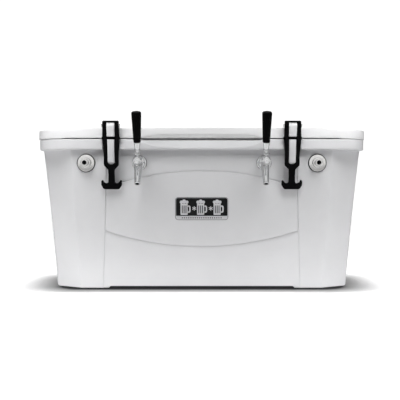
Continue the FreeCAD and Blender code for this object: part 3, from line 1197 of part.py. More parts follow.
def build_drain():
    """The drain: tube through the wall, nut inside, screwed cap with its washer."""
    profile = [("-drain_inside", "drain_bore_radius"), ("drain_spout_end", "drain_bore_radius"),
               ("drain_spout_end", "drain_spout_radius"), ("drain_flange_thick", "drain_spout_radius"),
               ("drain_flange_thick", "drain_flange_radius - 1"),
               ("drain_flange_thick - 1", "drain_flange_radius"), ("0", "drain_flange_radius"),
               ("0", "drain_radius"), ("-drain_inside", "drain_radius")]
    washer_start = "(drain_spout_end + 0.1)"
    washer_end = "(drain_spout_end + 0.1 + cap_washer_thick)"
    cap_foot = "(drain_flange_thick + 0.6)"
    cap_end = f"({washer_end} + 0.1 + cap_wall)"
    outlines = {
        "drain_fitting": profile,
        "drain_cap_washer": [(washer_start, "0"), (washer_end, "0"),
                             (washer_end, "drain_spout_radius"), (washer_start, "drain_spout_radius")],
        "drain_cap": [(f"{washer_end} + 0.1", "0"), (cap_end, "0"), (cap_end, "cap_radius - 2"),
                      (f"{cap_end} - 2", "cap_radius"), (cap_foot, "cap_radius"),
                      (cap_foot, "drain_spout_radius + cap_clear"),
                      (f"{washer_end} + 0.1", "drain_spout_radius + cap_clear")],
    }
    for label, corners in outlines.items():
        body = new_body(label)
        drawing = Drawing(body, f"{label}_profile", "XZ_Plane")
        drawing.loop(corners)
        turn(body, f"{label}_turn", drawing)
        if label == "drain_cap":
            add_cap_ribs(body, cap_end, cap_foot)
        place(body, DRAIN_SEAT, "0", "drain_height")
    nut = new_body("drain_nut")
    face = Drawing(nut, "drain_nut_face", "YZ_Plane")
    face.hexagon("nut_flats + 2").circle("0", "0", "drain_radius + 0.05")
    pad(nut, "drain_nut_pad", face, "nut_thick", back=True)
    place(nut, DRAIN_INNER, "0", "drain_height")


def add_cap_ribs(body, end, foot):
    """Grip ribs round the drain cap."""
    rib = Drawing(body, "cap_rib_plan", "YZ_Plane", lift=foot)
    rib.box("-1.3", "cap_radius - 1", "1.3", "cap_radius + 1")
    first = pad(body, "cap_rib", rib, f"{end} - {foot} - 2")
    ring = body.newObject("PartDesign::PolarPattern", "cap_ribs")
    ring.Originals = [first]
    ring.Axis = (rib.sketch, ["N_Axis"])
    ring.Angle = 360
    ring.Occurrences = 10
    body.Tip = ring


# ---------------------------------------------------------------- cold plate and lines

def build_cold_plate():
    """The aluminium cold plate on the well's floor."""
    body = new_body("cold_plate")
    plan = Drawing(body, "plate_plan", "XY_Plane", lift="well_floor")
    plan.box("-plate_half_long", "-plate_half_wide", "plate_half_long", "plate_half_wide",
             "plate_corner")
    pad(body, "plate", plan, "plate_tall")
    soften(body, "plate_round", "3", level(number(PLATE_TOP)))
    return body


def build_plate_fitting(label, sign, upright):
    """A hexagon fitting with a hose barb, on the plate's top or on its end."""
    body = new_body(label)
    face = Drawing(body, f"{label}_face", "XZ_Plane")
    face.hexagon("plate_fitting_flats")
    pad(body, f"{label}_hex", face, "plate_fitting_tall", back=True)
    add_barb(body, label, "plate_fitting_tall", "barb_long")
    if upright:
        body.Placement.Rotation = FreeCAD.Rotation(Vector(1, 0, 0), 90)
        place(body, f"{sign} * tap_out", LINE_Y, PLATE_TOP)
    else:
        body.Placement.Rotation = FreeCAD.Rotation(Vector(0, 0, 1), -90 * sign)
        place(body, f"{sign} * plate_half_long", LINE_Y, "well_floor + plate_tall / 2")
    return body


def bend_wire(points, radius):
    """A path of straight runs joined by tangent arcs of one radius."""
    edges = []
    start = points[0]
    for before, corner, after in zip(points, points[1:], points[2:]):
        way_in = (corner - before).normalize()
        way_out = (after - corner).normalize()
        reach = radius * math.tan(way_in.getAngle(way_out) / 2)
        arc_start = corner - way_in * reach
        arc_end = corner + way_out * reach
        inward = (way_out - way_in).normalize()
        to_centre = radius / math.cos(way_in.getAngle(way_out) / 2)
        middle = corner + inward * (to_centre - radius)
        edges.append(Part.LineSegment(start, arc_start).toShape())
        edges.append(Part.Arc(arc_start, middle, arc_end).toShape())
        start = arc_end
    edges.append(Part.LineSegment(start, points[-1]).toShape())
    return Part.Wire(edges)


def line_route(kind, sign):
    """The corners of a beer line, from the barb behind the wall to the cold plate's."""
    nut_face = number("plate_fitting_tall + 0.3")
    if kind == "inlet":
        out, height, seat = number("inlet_out"), number("inlet_height"), number(INLET_SEAT)
        end = Vector(sign * (number("plate_half_long") + nut_face), number(LINE_Y),
                     number("well_floor + plate_tall / 2"))
    else:
        out, height, seat = number("tap_out"), number("tap_height"), number(TAP_SEAT)
        end = Vector(sign * out, number(LINE_Y), number(PLATE_TOP) + nut_face)
    start = Vector(sign * out, number("shank_inside + tail_nut_long - tail_grip + 0.3") - seat, height)
    corners = [start, Vector(start.x, number(LINE_Y), height)]
    if kind == "inlet":
        corners.append(Vector(start.x, number(LINE_Y), end.z))
    return corners + [end]


def build_beer_line(kind, side, sign):
    """A beer line: a hose over the barbs at both of its ends."""
    points = line_route(kind, sign)
    path = bend_wire(points, number("hose_bend"))
    way = (points[1] - points[0]).normalize()
    rings = [Part.Wire(Part.Circle(points[0], way, radius).toShape())
             for radius in (number("hose_radius"), number("barb_radius + 0.1"))]
    outer, inner = [path.makePipeShell([ring], True, False) for ring in rings]
    return new_shape(f"{kind}_line_{side}", outer.cut(inner))


def build_clamps():
    """Eight identical hose clamps, one on each end of every line."""
    rings = []
    for sign in (-1, 1):
        for kind in ("inlet", "tap"):
            points = line_route(kind, sign)
            for end, inward in ((points[0], points[1]), (points[-1], points[-2])):
                way = (inward - end).normalize()
                foot = end + way * number("barb_long / 2 - clamp_wide / 2")
                hose = number("hose_radius + 0.05")
                outer = Part.makeCylinder(hose + number("clamp_thick"), number("clamp_wide"), foot, way)
                rings.append(outer.cut(Part.makeCylinder(hose, number("clamp_wide"), foot, way)))
    return new_shape("hose_clamps", Part.makeCompound(rings))


# ---------------------------------------------------------------- badge and feet

def build_badge():
    """The flat badge in the front pad."""
    body = new_body("badge")
    tip = f"atan({FRONT_SLOPE})"
    along = f"/ cos({tip})"
    face = Drawing(body, "badge_face", "XZ_Plane", lift="base_half_deep", tip=tip)
    face.box("-badge_half_wide", f"(badge_height - badge_half_tall) {along}",
             "badge_half_wide", f"(badge_height + badge_half_tall) {along}", "badge_round")
    plate = pad(body, "badge_plate", face, "badge_thick")
    bind(face.sketch, "AttachmentOffset.Base.z", f"base_half_deep - badge_sunk / cos({tip})")
    doc.recompute()
    return plate


def build_foot_pads():
    """Four rubber pads set in the moulded feet."""
    pads = []
    for x in (-1, 1):
        for y in (-1, 1):
            centre = Vector(x * number("foot_pad_out"), y * number("foot_pad_back"), 0)
            disc = Part.makeCylinder(number("foot_pad_radius"),
                                     number("foot_stand + foot_pad_sunk - 0.05"), centre)
            lower = [edge for edge in disc.Edges if edge.BoundBox.ZMax < 0.1]
            pads.append(disc.makeChamfer(number("foot_pad_edge"), lower))
    return new_shape("foot_pads", Part.makeCompound(pads))


# ---------------------------------------------------------------- assembly and export

def build_all():
    """Build every piece of the jockey box."""
    build_tub()
    build_lid()
    build_seal()
    build_badge()
    build_foot_pads()
    build_cold_plate()
    build_drain()
    for side, sign in SIDES:
        build_hinge_rod(side, sign)
        build_latch_pin(side, sign)
        build_strap(side, sign)
        build_shank(side, sign)
        build_coupling(side, sign)
        build_faucet(side, sign)
        build_bonnet(side, sign)
        build_valve(side, sign)
        build_lever(side, sign)
        build_inlet(side, sign)
        build_inner_fittings(side, sign)
        build_plate_fitting(f"plate_inlet_{side}", sign, upright=False)
        build_plate_fitting(f"plate_outlet_{side}", sign, upright=True)
        build_beer_line("inlet", side, sign)
        build_beer_line("tap", side, sign)
    build_clamps()


def write_steps():
    """Check every object and write one STEP file for each piece."""
    doc.recompute()
    for item in doc.Objects:
        if {"Invalid", "Error"} & set(item.State):
            raise ValueError(f"{item.Name} failed: {item.State}")
    os.makedirs("parts", exist_ok=True)
    pieces = [item for item in doc.Objects if item.isDerivedFrom("PartDesign::Body")
              or item.TypeId == "Part::Feature"]
    for piece in pieces:
        shape = piece.Shape
        if shape.isNull() or not shape.isValid() or not shape.Solids:
            raise ValueError(f"{piece.Label} has no valid solid")
        shape.exportStep(f"parts/{piece.Label}.step")


build_all()
write_steps()
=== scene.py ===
"""A draught beer cooler with two taps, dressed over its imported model.

Every size below is in millimetres and every mesh is turned into metres where it is made.
Shapes are worked out about the middle of the tub, and Frame.shift puts them in place.
"""
import json
import logging
import math
from dataclasses import dataclass, field
from enum import Enum
from typing import Callable, Sequence

import bmesh
import bpy
import numpy as np
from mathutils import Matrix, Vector
from mathutils.geometry import tessellate_polygon


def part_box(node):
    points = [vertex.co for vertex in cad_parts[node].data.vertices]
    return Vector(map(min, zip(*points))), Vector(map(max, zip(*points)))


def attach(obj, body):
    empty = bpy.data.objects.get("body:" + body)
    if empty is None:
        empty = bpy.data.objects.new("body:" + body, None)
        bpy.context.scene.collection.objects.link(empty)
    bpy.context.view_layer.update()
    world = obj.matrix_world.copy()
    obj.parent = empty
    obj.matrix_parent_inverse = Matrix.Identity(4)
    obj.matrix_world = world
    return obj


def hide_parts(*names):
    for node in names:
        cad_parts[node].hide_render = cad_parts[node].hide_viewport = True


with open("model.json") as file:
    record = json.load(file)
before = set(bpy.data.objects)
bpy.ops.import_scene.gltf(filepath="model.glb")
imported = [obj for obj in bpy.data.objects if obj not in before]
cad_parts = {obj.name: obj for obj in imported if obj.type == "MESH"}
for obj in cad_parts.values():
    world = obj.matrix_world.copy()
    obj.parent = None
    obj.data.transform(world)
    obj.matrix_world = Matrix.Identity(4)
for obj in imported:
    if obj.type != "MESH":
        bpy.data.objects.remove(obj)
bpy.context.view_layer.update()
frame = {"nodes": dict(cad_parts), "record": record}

logging.basicConfig(level=logging.INFO, format="%(levelname)s %(message)s")
LOG = logging.getLogger("beer_cooler")

Array = np.ndarray
Block = tuple[int, int, int, int]
Pair = tuple[float, float]
Triple = tuple[float, float, float]
Socket = bpy.types.NodeSocket

MM = 0.001


class Side(Enum):
    """The two ends of the cooler, with the sign of their X."""

    LEFT = -1
    RIGHT = 1

    @property
    def word(self) -> str:
        """The side's name as the nodes spell it."""
        return self.name.lower()


class Axis(Enum):
    """Which of a placement's axes a turned piece turns about."""

    UP = "up"
    AHEAD = "ahead"


class Effect(Enum):
    """The shared node groups that give a finish its relief and its marks."""

    GRAIN = "moulded_grain"
    BRUSHED = "turned_lines"


# ---------------------------------------------------------------- meshes

class Skin:
    """Collects grids and flat polygons and welds them into one closed mesh."""

    def __init__(self) -> None:
        """Start with nothing."""
        self.points: list[Array] = []
        self.quads: list[Array] = []
        self.flats: list[list[int]] = []
        self.count = 0

    def grid(self, points: Array, around: bool = False, holes: Sequence[Block] = ()) -> None:
        """Add a grid of quads between neighbouring rows and columns.

        Args:
            points: rows x columns x 3, in millimetres.
            around: whether the last column joins the first.
            holes: blocks (first row, last row, first column, last column) left open.
        """
        rows, columns = points.shape[:2]
        index = self.count + np.arange(rows * columns).reshape(rows, columns)
        if around:
            index = np.concatenate([index, index[:, :1]], axis=1)
        keep = np.ones((rows - 1, index.shape[1] - 1), bool)
        for row_a, row_b, column_a, column_b in holes:
            keep[row_a:row_b, column_a:column_b] = False
        corners = np.stack([index[:-1, :-1], index[:-1, 1:], index[1:, 1:], index[1:, :-1]], axis=-1)
        self.quads.append(corners[keep].reshape(-1, 4))
        self.points.append(points.reshape(-1, 3))
        self.count += rows * columns

    def flat(self, loop: Array) -> None:
        """Close a loop of points (n x 3) with one polygon."""
        self.points.append(loop)
        self.flats.append(list(range(self.count, self.count + len(loop))))
        self.count += len(loop)

    def triangles(self, points: Array, corners: Sequence[tuple[int, int, int]]) -> None:
        """Add points (n x 3) and the triangles between them."""
        self.points.append(points)
        self.flats += [[self.count + corner for corner in triple] for triple in corners]
        self.count += len(points)

    def adopt(self, other: "Skin", place: Callable[[Array], Array]) -> None:
        """Take over everything of another skin, moved by place."""
        self.quads += [quads + self.count for quads in other.quads]
        self.flats += [[index + self.count for index in flat] for flat in other.flats]
        self.points += [place(points) for points in other.points]
        self.count += other.count

    def piece(self, name: str, sharp: float = 32.0) -> bpy.types.Object:
        """Weld what was added into an object whose faces point outwards.

        Args:
            name: the new object's name.
            sharp: edges that turn by more than this many degrees stay crisp.

        Returns:
            The object, at the origin, with its place in its mesh.
        """
        mesh = bpy.data.meshes.new(name)
        faces = [quad for block in self.quads for quad in block.tolist()] + self.flats
        mesh.from_pydata((np.concatenate(self.points) * MM).tolist(), [], faces)
        work = bmesh.new()
        work.from_mesh(mesh)
        bmesh.ops.remove_doubles(work, verts=work.verts, dist=2e-6)
        bmesh.ops.dissolve_degenerate(work, dist=1e-7, edges=work.edges)
        loose = [vertex for vertex in work.verts if not vertex.link_faces]
        bmesh.ops.delete(work, geom=loose, context="VERTS")
        bmesh.ops.recalc_face_normals(work, faces=work.faces)
        work.to_mesh(mesh)
        work.free()
        mesh.polygons.foreach_set("use_smooth", np.ones(len(mesh.polygons), bool))
        mesh.set_sharp_from_angle(angle=math.radians(sharp))
        made = bpy.data.objects.new(name, mesh)
        bpy.context.scene.collection.objects.link(made)
        return made


def rounded(corners: Sequence[Triple], steps: int = 6) -> Array:
    """A closed outline whose corners are arcs.

    At each corner the arc is tangent to both sides: it starts and ends radius * tan(turn / 2)
    from the corner, and its centre lies radius away from each side.

    Args:
        corners: x, y and radius of each corner, in order.
        steps: pieces in each arc.

    Returns:
        Points n x 2.
    """
    place = np.array([corner[:2] for corner in corners], float)
    radius = np.array([corner[2] for corner in corners], float)
    way_in = place - np.roll(place, 1, axis=0)
    way_in /= np.linalg.norm(way_in, axis=1, keepdims=True)
    way_out = np.roll(way_in, -1, axis=0)
    cross = way_in[:, 0] * way_out[:, 1] - way_in[:, 1] * way_out[:, 0]
    turn = np.arctan2(cross, (way_in * way_out).sum(1))
    reach = radius * np.tan(np.abs(turn) / 2)
    start = place - way_in * reach[:, None]
    side = np.where(turn < 0, -1.0, 1.0)
    normal = np.stack([-way_in[:, 1], way_in[:, 0]], 1) * side[:, None]
    centre = start + normal * radius[:, None]
    loops = []
    for index in range(len(corners)):
        if radius[index] <= 0 or abs(turn[index]) < 1e-6:
            loops.append(place[index][None])
            continue
        angle = np.linspace(0, turn[index], steps + 1)
        spoke = -normal[index] * radius[index]
        across = np.array([-spoke[1], spoke[0]])
        loops.append(centre[index] + np.outer(np.cos(angle), spoke) + np.outer(np.sin(angle), across))
    return np.concatenate(loops)


def open_line(corners: Sequence[tuple], steps: int = 4) -> Array:
    """An open profile whose inner corners are arcs.

    Args:
        corners: (radius, height) or (radius, height, rounding) of each corner.
        steps: pieces in each arc.

    Returns:
        Points n x 2.
    """
    full = [(corner[0], corner[1], corner[2] if len(corner) > 2 else 0.0) for corner in corners]
    first, last = full[0][:2], full[-1][:2]
    far = (first[0] - 1e3, first[1] - 1.7e3, 0.0)
    loop = rounded([(*first, 0.0), *full[1:-1], (*last, 0.0), far], steps)
    return loop[:-1]


@dataclass(frozen=True)
class Placement:
    """A local frame: its origin and its three axes in the row frame, in millimetres."""

    origin: Triple
    across: Triple = (1.0, 0.0, 0.0)
    along: Triple = (0.0, 1.0, 0.0)
    up: Triple = (0.0, 0.0, 1.0)

    def put(self, local: Array) -> Array:
        """Local points (... x 3) in the row frame: origin + x across + y along + z up."""
        return np.asarray(self.origin) + local @ np.array([self.across, self.along, self.up], float)

    def leaning(self, ahead: float, rise: float, lean: float) -> "Placement":
        """The frame moved ahead (towards -along) and up, with its up axis tipped ahead.

        Args:
            ahead: millimetres towards -along.
            rise: millimetres towards up.
            lean: degrees by which the new up axis tips towards -along.

        Returns:
            The new frame.
        """
        angle = math.radians(lean)
        along, up = np.array(self.along), np.array(self.up)
        origin = np.array(self.origin) - along * ahead + up * rise
        return Placement(tuple(origin), self.across,
                         tuple(along * math.cos(angle) + up * math.sin(angle)),
                         tuple(up * math.cos(angle) - along * math.sin(angle)))


def lathe(profile: Array, place: Placement, turns: int = 48, axis: Axis = Axis.UP) -> Array:
    """A profile turned about an axis.

    A point at angle a and profile (r, h) is r cos a and r sin a across the axis, h along it.

    Args:
        profile: n x 2 of radius and height.
        place: the local frame.
        turns: columns round the axis.
        axis: up, or ahead for an axis towards -along.

    Returns:
        Grid n x turns x 3.
    """
    angle = np.linspace(0, 2 * math.pi, turns, endpoint=False)
    radius, height = profile[:, 0, None], profile[:, 1, None]
    one, two = radius * np.cos(angle), radius * np.sin(angle)
    level = np.broadcast_to(height, one.shape)
    local = (one, two, level) if axis is Axis.UP else (one, -level, two)
    return place.put(np.stack(local, axis=-1))


def drum(radius: Array, level: Array, place: Placement) -> Array:
    """A turned shape whose radius also changes round its axis, which points towards -along.

    A point in column k of n lies at angle a = 2 pi k / n: radius cos a and radius sin a
    across the axis, level along it.

    Args:
        radius: rows x columns.
        level: the height of each row.
        place: the local frame.

    Returns:
        Grid rows x columns x 3.
    """
    angle = np.linspace(0, 2 * math.pi, radius.shape[1], endpoint=False)
    height = np.broadcast_to(level[:, None], radius.shape)
    return place.put(np.stack([radius * np.cos(angle), -height, radius * np.sin(angle)], -1))


def turned(name: str, profile: Array, place: Placement, turns: int, axis: Axis = Axis.AHEAD,
           sharp: float = 36.0) -> bpy.types.Object:
    """Make a piece that is one profile turned about an axis.

    Args:
        name: the piece's name.
        profile: n x 2 of radius and height.
        place: the local frame.
        turns: columns round the axis.
        axis: which axis of the frame it turns about.
        sharp: edges that turn by more than this many degrees stay crisp.

    Returns:
        The piece.
    """
    skin = Skin()
    skin.grid(lathe(profile, place, turns, axis), around=True)
    return skin.piece(name, sharp)


def rounding(radius: float, pieces: int) -> list[Pair]:
    """A rounded edge at even angles a from 0 to 90 degrees: r (1 - sin a), r (1 - cos a)."""
    return [(radius * (1 - math.sin(angle)), radius * (1 - math.cos(angle)))
            for angle in np.linspace(0, math.pi / 2, pieces + 1)]


def inward(loop: Array) -> Array:
    """Unit vectors that point into an anticlockwise loop, square to its neighbours' chord."""
    chord = np.roll(loop, -1, axis=0) - np.roll(loop, 1, axis=0)
    chord /= np.maximum(np.linalg.norm(chord, axis=1, keepdims=True), 1e-9)
    return np.stack([-chord[:, 1], chord[:, 0]], 1)


def prism(skin: Skin, outline: Array, place: Placement, half: float, bevel: float = 1.2,
          windows: Sequence[Array] = ()) -> None:
    """An outline in the (along, up) plane carried across, with rounded rims.

    The outline moves from -half to half along the across axis; over the last bevel
    millimetres it shrinks inwards by bevel (1 - cos a) while it advances by bevel sin a.
    A window's outline grows where the outer one shrinks.

    Args:
        skin: where the faces go.
        outline: n x 2 of along and up, anticlockwise or clockwise.
        place: the local frame.
        half: half of the width.
        bevel: radius of the rims.
        windows: outlines of holes through it.
    """
    angle = np.linspace(0, math.pi / 2, 4)
    shrink = np.concatenate([bevel * (1 - np.sin(angle)), bevel * (1 - np.cos(angle))])
    across = np.concatenate([-half + bevel * (1 - np.cos(angle)), half - bevel * (1 - np.sin(angle))])
    ends: list[Array] = []
    for number, loop in enumerate([outline, *windows]):
        before = np.roll(loop, 1, axis=0)
        area = 0.5 * np.sum(before[:, 0] * loop[:, 1] - before[:, 1] * loop[:, 0])
        into = inward(loop) * (1.0 if (area > 0) == (number == 0) else -1.0)
        flat = loop[None] + into[None] * shrink[:, None, None]
        grid = np.concatenate([np.broadcast_to(across[:, None, None], flat.shape[:2] + (1,)), flat], -1)
        skin.grid(place.put(grid), around=True)
        ends.append(grid[[0, -1]])
    corners = tessellate_polygon([[Vector((0.0, *point)) for point in end[0, :, 1:]] for end in ends])
    for points in np.concatenate(ends, axis=1):
        skin.triangles(place.put(points), corners)


def smooth(value: Array) -> Array:
    """0 below 0, 1 above 1 and 3 v^2 - 2 v^3 between."""
    v = np.clip(value, 0.0, 1.0)
    return v * v * (3 - 2 * v)


# ---------------------------------------------------------------- finishes

def new_group(name: str, inputs: dict[str, float], outputs: Sequence[str]) -> bpy.types.NodeTree:
    """A shader node group with float inputs and outputs.

    Args:
        name: the group's name.
        inputs: each input's name and default value.
        outputs: the names of the outputs.

    Returns:
        The empty group, with its input and output nodes.
    """
    tree = bpy.data.node_groups.new(name, "ShaderNodeTree")
    for label, value in inputs.items():
        socket = tree.interface.new_socket(label, in_out="INPUT", socket_type="NodeSocketFloat")
        socket.default_value = value
    for label in outputs:
        tree.interface.new_socket(label, in_out="OUTPUT", socket_type="NodeSocketFloat")
    tree.nodes.new("NodeGroupInput")
    tree.nodes.new("NodeGroupOutput")
    return tree


class Nodes:
    """Short calls for building a node tree."""

    def __init__(self, tree: bpy.types.NodeTree) -> None:
        """Work in this tree."""
        self.tree = tree

    def add(self, kind: str, **settings: object) -> bpy.types.Node:
        """A new node of that kind with those properties."""
        node = self.tree.nodes.new(kind)
        for name, value in settings.items():
            setattr(node, name, value)
        return node

    def join(self, source: Socket, target: Socket) -> None:
        """Link two sockets."""
        self.tree.links.new(source, target)

    def feed(self, socket: Socket, value: object) -> None:
        """Link a socket to the given one, or set its value."""
        if isinstance(value, Socket):
            self.join(value, socket)
        else:
            socket.default_value = value

    def math(self, operation: str, *values: object, clamp: bool = False) -> Socket:
        """The result of a Math node on sockets or numbers."""
        node = self.add("ShaderNodeMath", operation=operation, use_clamp=clamp)
        for socket, value in zip(node.inputs, values):
            self.feed(socket, value)
        return node.outputs[0]

    def noise(self, place: Socket, scale: object, detail: float = 3.0,
              rough: float = 0.55) -> Socket:
        """The value of a noise at a place."""
        node = self.add("ShaderNodeTexNoise")
        self.join(place, node.inputs["Vector"])
        self.feed(node.inputs["Scale"], scale)
        node.inputs["Detail"].default_value = detail
        node.inputs["Roughness"].default_value = rough
        return node.outputs["Fac"]

    def stretched(self, place: Socket, scale: Triple) -> Socket:
        """A place scaled by a different amount along each axis."""
        node = self.add("ShaderNodeMapping")
        self.join(place, node.inputs["Vector"])
        node.inputs["Scale"].default_value = scale
        return node.outputs["Vector"]

    def ramp(self, value: Socket, low: float, high: float) -> Socket:
        """0 where the value is under low, 1 over high, smooth between."""
        node = self.add("ShaderNodeMapRange", interpolation_type="SMOOTHSTEP")
        self.join(value, node.inputs["Value"])
        node.inputs["From Min"].default_value = low
        node.inputs["From Max"].default_value = high
        return node.outputs["Result"]


def grain_group() -> bpy.types.NodeTree:
    """Orange-peel of a moulded skin: fine and middle noise added, and a slow mottle."""
    tree = new_group(Effect.GRAIN.value, {"Fine Scale": 700.0, "Slow Scale": 9.0},
                     ("Height", "Mottle", "Scuff"))
    n = Nodes(tree)
    entry, leave = tree.nodes["Group Input"], tree.nodes["Group Output"]
    place = n.add("ShaderNodeTexCoord").outputs["Object"]
    fine = n.noise(place, entry.outputs["Fine Scale"], 2.0)
    middle = n.noise(place, n.math("MULTIPLY", entry.outputs["Fine Scale"], 0.22), 2.0)
    n.join(n.math("ADD", n.math("MULTIPLY", fine, 0.6), n.math("MULTIPLY", middle, 0.4)),
           leave.inputs["Height"])
    n.join(n.noise(place, entry.outputs["Slow Scale"], 4.0), leave.inputs["Mottle"])
    streak = n.noise(n.stretched(place, (14.0, 60.0, 190.0)), 3.0, 5.0, 0.62)
    patch = n.ramp(n.noise(place, 7.0, 3.0), 0.50, 0.70)
    n.join(n.math("MULTIPLY", n.ramp(streak, 0.58, 0.66), patch), leave.inputs["Scuff"])
    return tree


def brushed_group() -> bpy.types.NodeTree:
    """Fine turning lines: a noise drawn out along X, and smudges that dull the gloss."""
    tree = new_group(Effect.BRUSHED.value, {"Line Scale": 1.0}, ("Height", "Smudge", "Pit"))
    n = Nodes(tree)
    entry, leave = tree.nodes["Group Input"], tree.nodes["Group Output"]
    place = n.add("ShaderNodeTexCoord").outputs["Object"]
    n.join(n.noise(n.stretched(place, (60.0, 1500.0, 1500.0)), entry.outputs["Line Scale"], 3.0),
           leave.inputs["Height"])
    n.join(n.ramp(n.noise(place, 90.0, 4.0), 0.35, 0.75), leave.inputs["Smudge"])
    n.join(n.ramp(n.noise(place, 1300.0, 2.0), 0.68, 0.76), leave.inputs["Pit"])
    return tree


def group(effect: Effect) -> bpy.types.NodeTree:
    """The shared node group of an effect, built at its first use."""
    made = bpy.data.node_groups.get(effect.value)
    if made is None:
        made = grain_group() if effect is Effect.GRAIN else brushed_group()
    return made


@dataclass(frozen=True)
class Finish:
    """A surface finish: its colour, how far it varies, gloss and relief.

    Attributes:
        name: the record's material slot.
        colour: base colour, linear.
        tint: colour that the mottle, the smudges or the pits turn towards.
        vary: how far the colour turns towards the tint, from 0 to 1.
        rough: roughness where the surface is clean.
        rougher: roughness where it is scuffed or smudged.
        metal: metallic, 0 or 1.
        effect: which shared group gives the relief.
        grain: scale of the relief's pattern.
        relief: strength of the bump.
        depth: height of the bump, in metres.
        specular: specular level.
        clear: transmission weight.
    """

    name: str
    colour: Triple
    tint: Triple
    vary: float = 0.5
    rough: float = 0.5
    rougher: float = 0.65
    metal: float = 0.0
    effect: Effect = Effect.GRAIN
    grain: float = 700.0
    relief: float = 0.3
    depth: float = 0.0002
    specular: float = 0.5
    clear: float = 0.0

    def material(self) -> bpy.types.Material:
        """The material, built once and shared."""
        label = f"{self.name}_finish"
        made = bpy.data.materials.get(label)
        if made is not None:
            return made
        made = bpy.data.materials.new(label)
        made.use_nodes = True
        made.diffuse_color = (*self.colour, 1.0)
        n = Nodes(made.node_tree)
        shader = made.node_tree.nodes["Principled BSDF"]
        effect = n.add("ShaderNodeGroup", node_tree=group(self.effect))
        effect.inputs[0].default_value = self.grain
        slow, marks = effect.outputs[1], effect.outputs[2]
        blend = n.add("ShaderNodeMix", data_type="RGBA")
        share = n.math("ADD", n.ramp(slow, 0.35, 0.7), marks)
        n.join(n.math("MULTIPLY", share, self.vary, clamp=True), blend.inputs["Factor"])
        blend.inputs[6].default_value = (*self.colour, 1.0)
        blend.inputs[7].default_value = (*self.tint, 1.0)
        n.join(blend.outputs[2], shader.inputs["Base Color"])
        wear = n.math("ADD", n.math("MULTIPLY", slow, 0.6), marks, clamp=True)
        n.join(n.math("ADD", n.math("MULTIPLY", wear, self.rougher - self.rough), self.rough),
               shader.inputs["Roughness"])
        bump = n.add("ShaderNodeBump")
        bump.inputs["Strength"].default_value = self.relief
        bump.inputs["Distance"].default_value = self.depth
        n.join(effect.outputs["Height"], bump.inputs["Height"])
        n.join(bump.outputs["Normal"], shader.inputs["Normal"])
        shader.inputs["Metallic"].default_value = self.metal
        shader.inputs["Specular IOR Level"].default_value = self.specular
        shader.inputs["Transmission Weight"].default_value = self.clear
        return made


FINISHES = {finish.name: finish for finish in (
    # tub_shell and lid_shell are one white plastic: the tub's colour is set darker, painted shade over its
    # walls, and the lid's lighter, painted light over the lid
    Finish("tub_shell", (0.71, 0.71, 0.722), (0.656, 0.656, 0.668), vary=0.45, rough=0.44, rougher=0.62,
           relief=0.55, depth=0.0005, specular=0.4),
    Finish("lid_shell", (0.84, 0.84, 0.845), (0.78, 0.78, 0.788), vary=0.40, rough=0.40, rougher=0.58,
           relief=0.5, depth=0.0005, specular=0.4),
    Finish("latch_rubber", (0.002, 0.002, 0.0022), (0.006, 0.006, 0.0063), vary=0.5, rough=0.52,
           rougher=0.8, grain=1200.0, relief=0.35, depth=0.0003, specular=0.03),
    Finish("seal_rubber", (0.012, 0.012, 0.013), (0.035, 0.035, 0.034), vary=0.5, rough=0.6, rougher=0.85,
           grain=1100.0, relief=0.3, depth=0.0002, specular=0.1),
    Finish("stainless", (0.64, 0.636, 0.625), (0.54, 0.536, 0.525), vary=0.45, rough=0.12, rougher=0.22,
           metal=1.0, effect=Effect.BRUSHED, grain=1.0, relief=0.10, depth=0.00003),
    Finish("chrome", (0.60, 0.605, 0.61), (0.50, 0.505, 0.51), vary=0.35, rough=0.09, rougher=0.19,
           metal=1.0, effect=Effect.BRUSHED, grain=1.0, relief=0.03, depth=0.00001),
    Finish("handle_black", (0.001, 0.001, 0.0011), (0.003, 0.003, 0.0033), vary=0.5, rough=0.34,
           rougher=0.5, grain=900.0, relief=0.08, depth=0.0001, specular=0.03),
    Finish("plate_aluminium", (0.62, 0.63, 0.64), (0.50, 0.51, 0.52), vary=0.5, rough=0.34, rougher=0.55,
           metal=1.0, effect=Effect.BRUSHED, grain=0.6, relief=0.35, depth=0.0002),
    Finish("brass_fitting", (0.62, 0.44, 0.17), (0.45, 0.30, 0.11), vary=0.5, rough=0.24, rougher=0.45,
           metal=1.0, effect=Effect.BRUSHED, grain=1.0, relief=0.2, depth=0.00008),
    Finish("beer_hose", (0.86, 0.87, 0.84), (0.78, 0.80, 0.74), vary=0.3, rough=0.12, rougher=0.3,
           grain=500.0, relief=0.1, depth=0.0001, clear=0.75),
    Finish("badge_print", (0.004, 0.004, 0.0045), (0.010, 0.010, 0.011), vary=0.4, rough=0.3, rougher=0.5,
           grain=900.0, relief=0.06, depth=0.0001, specular=0.12),
    Finish("badge_silver", (0.60, 0.60, 0.62), (0.52, 0.52, 0.54), vary=0.4, rough=0.35, rougher=0.5,
           grain=900.0, relief=0.06, depth=0.0001),
    Finish("drain_plastic", (0.018, 0.018, 0.02), (0.04, 0.04, 0.042), vary=0.5, rough=0.4, rougher=0.6,
           grain=900.0, relief=0.25, depth=0.0002),
)}


def dress(made: bpy.types.Object, slot: str, body: str, replaces: Sequence[str] = (),
          finish: str | None = None) -> None:
    """Give a piece its finish, put it on its body and hide the nodes that it stands for.

    Args:
        made: the piece.
        slot: the record's material slot.
        body: the CAD body that it rides on.
        replaces: the CAD nodes that it stands for.
        finish: the finish, where it isn't the slot's own.
    """
    made.data.materials.clear()
    made.data.materials.append(FINISHES[finish or slot].material())
    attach(made, body)
    if replaces:
        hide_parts(*replaces)
    LOG.info("%s: %d faces on %s", made.name, len(made.data.polygons), body)


# ---------------------------------------------------------------- frame

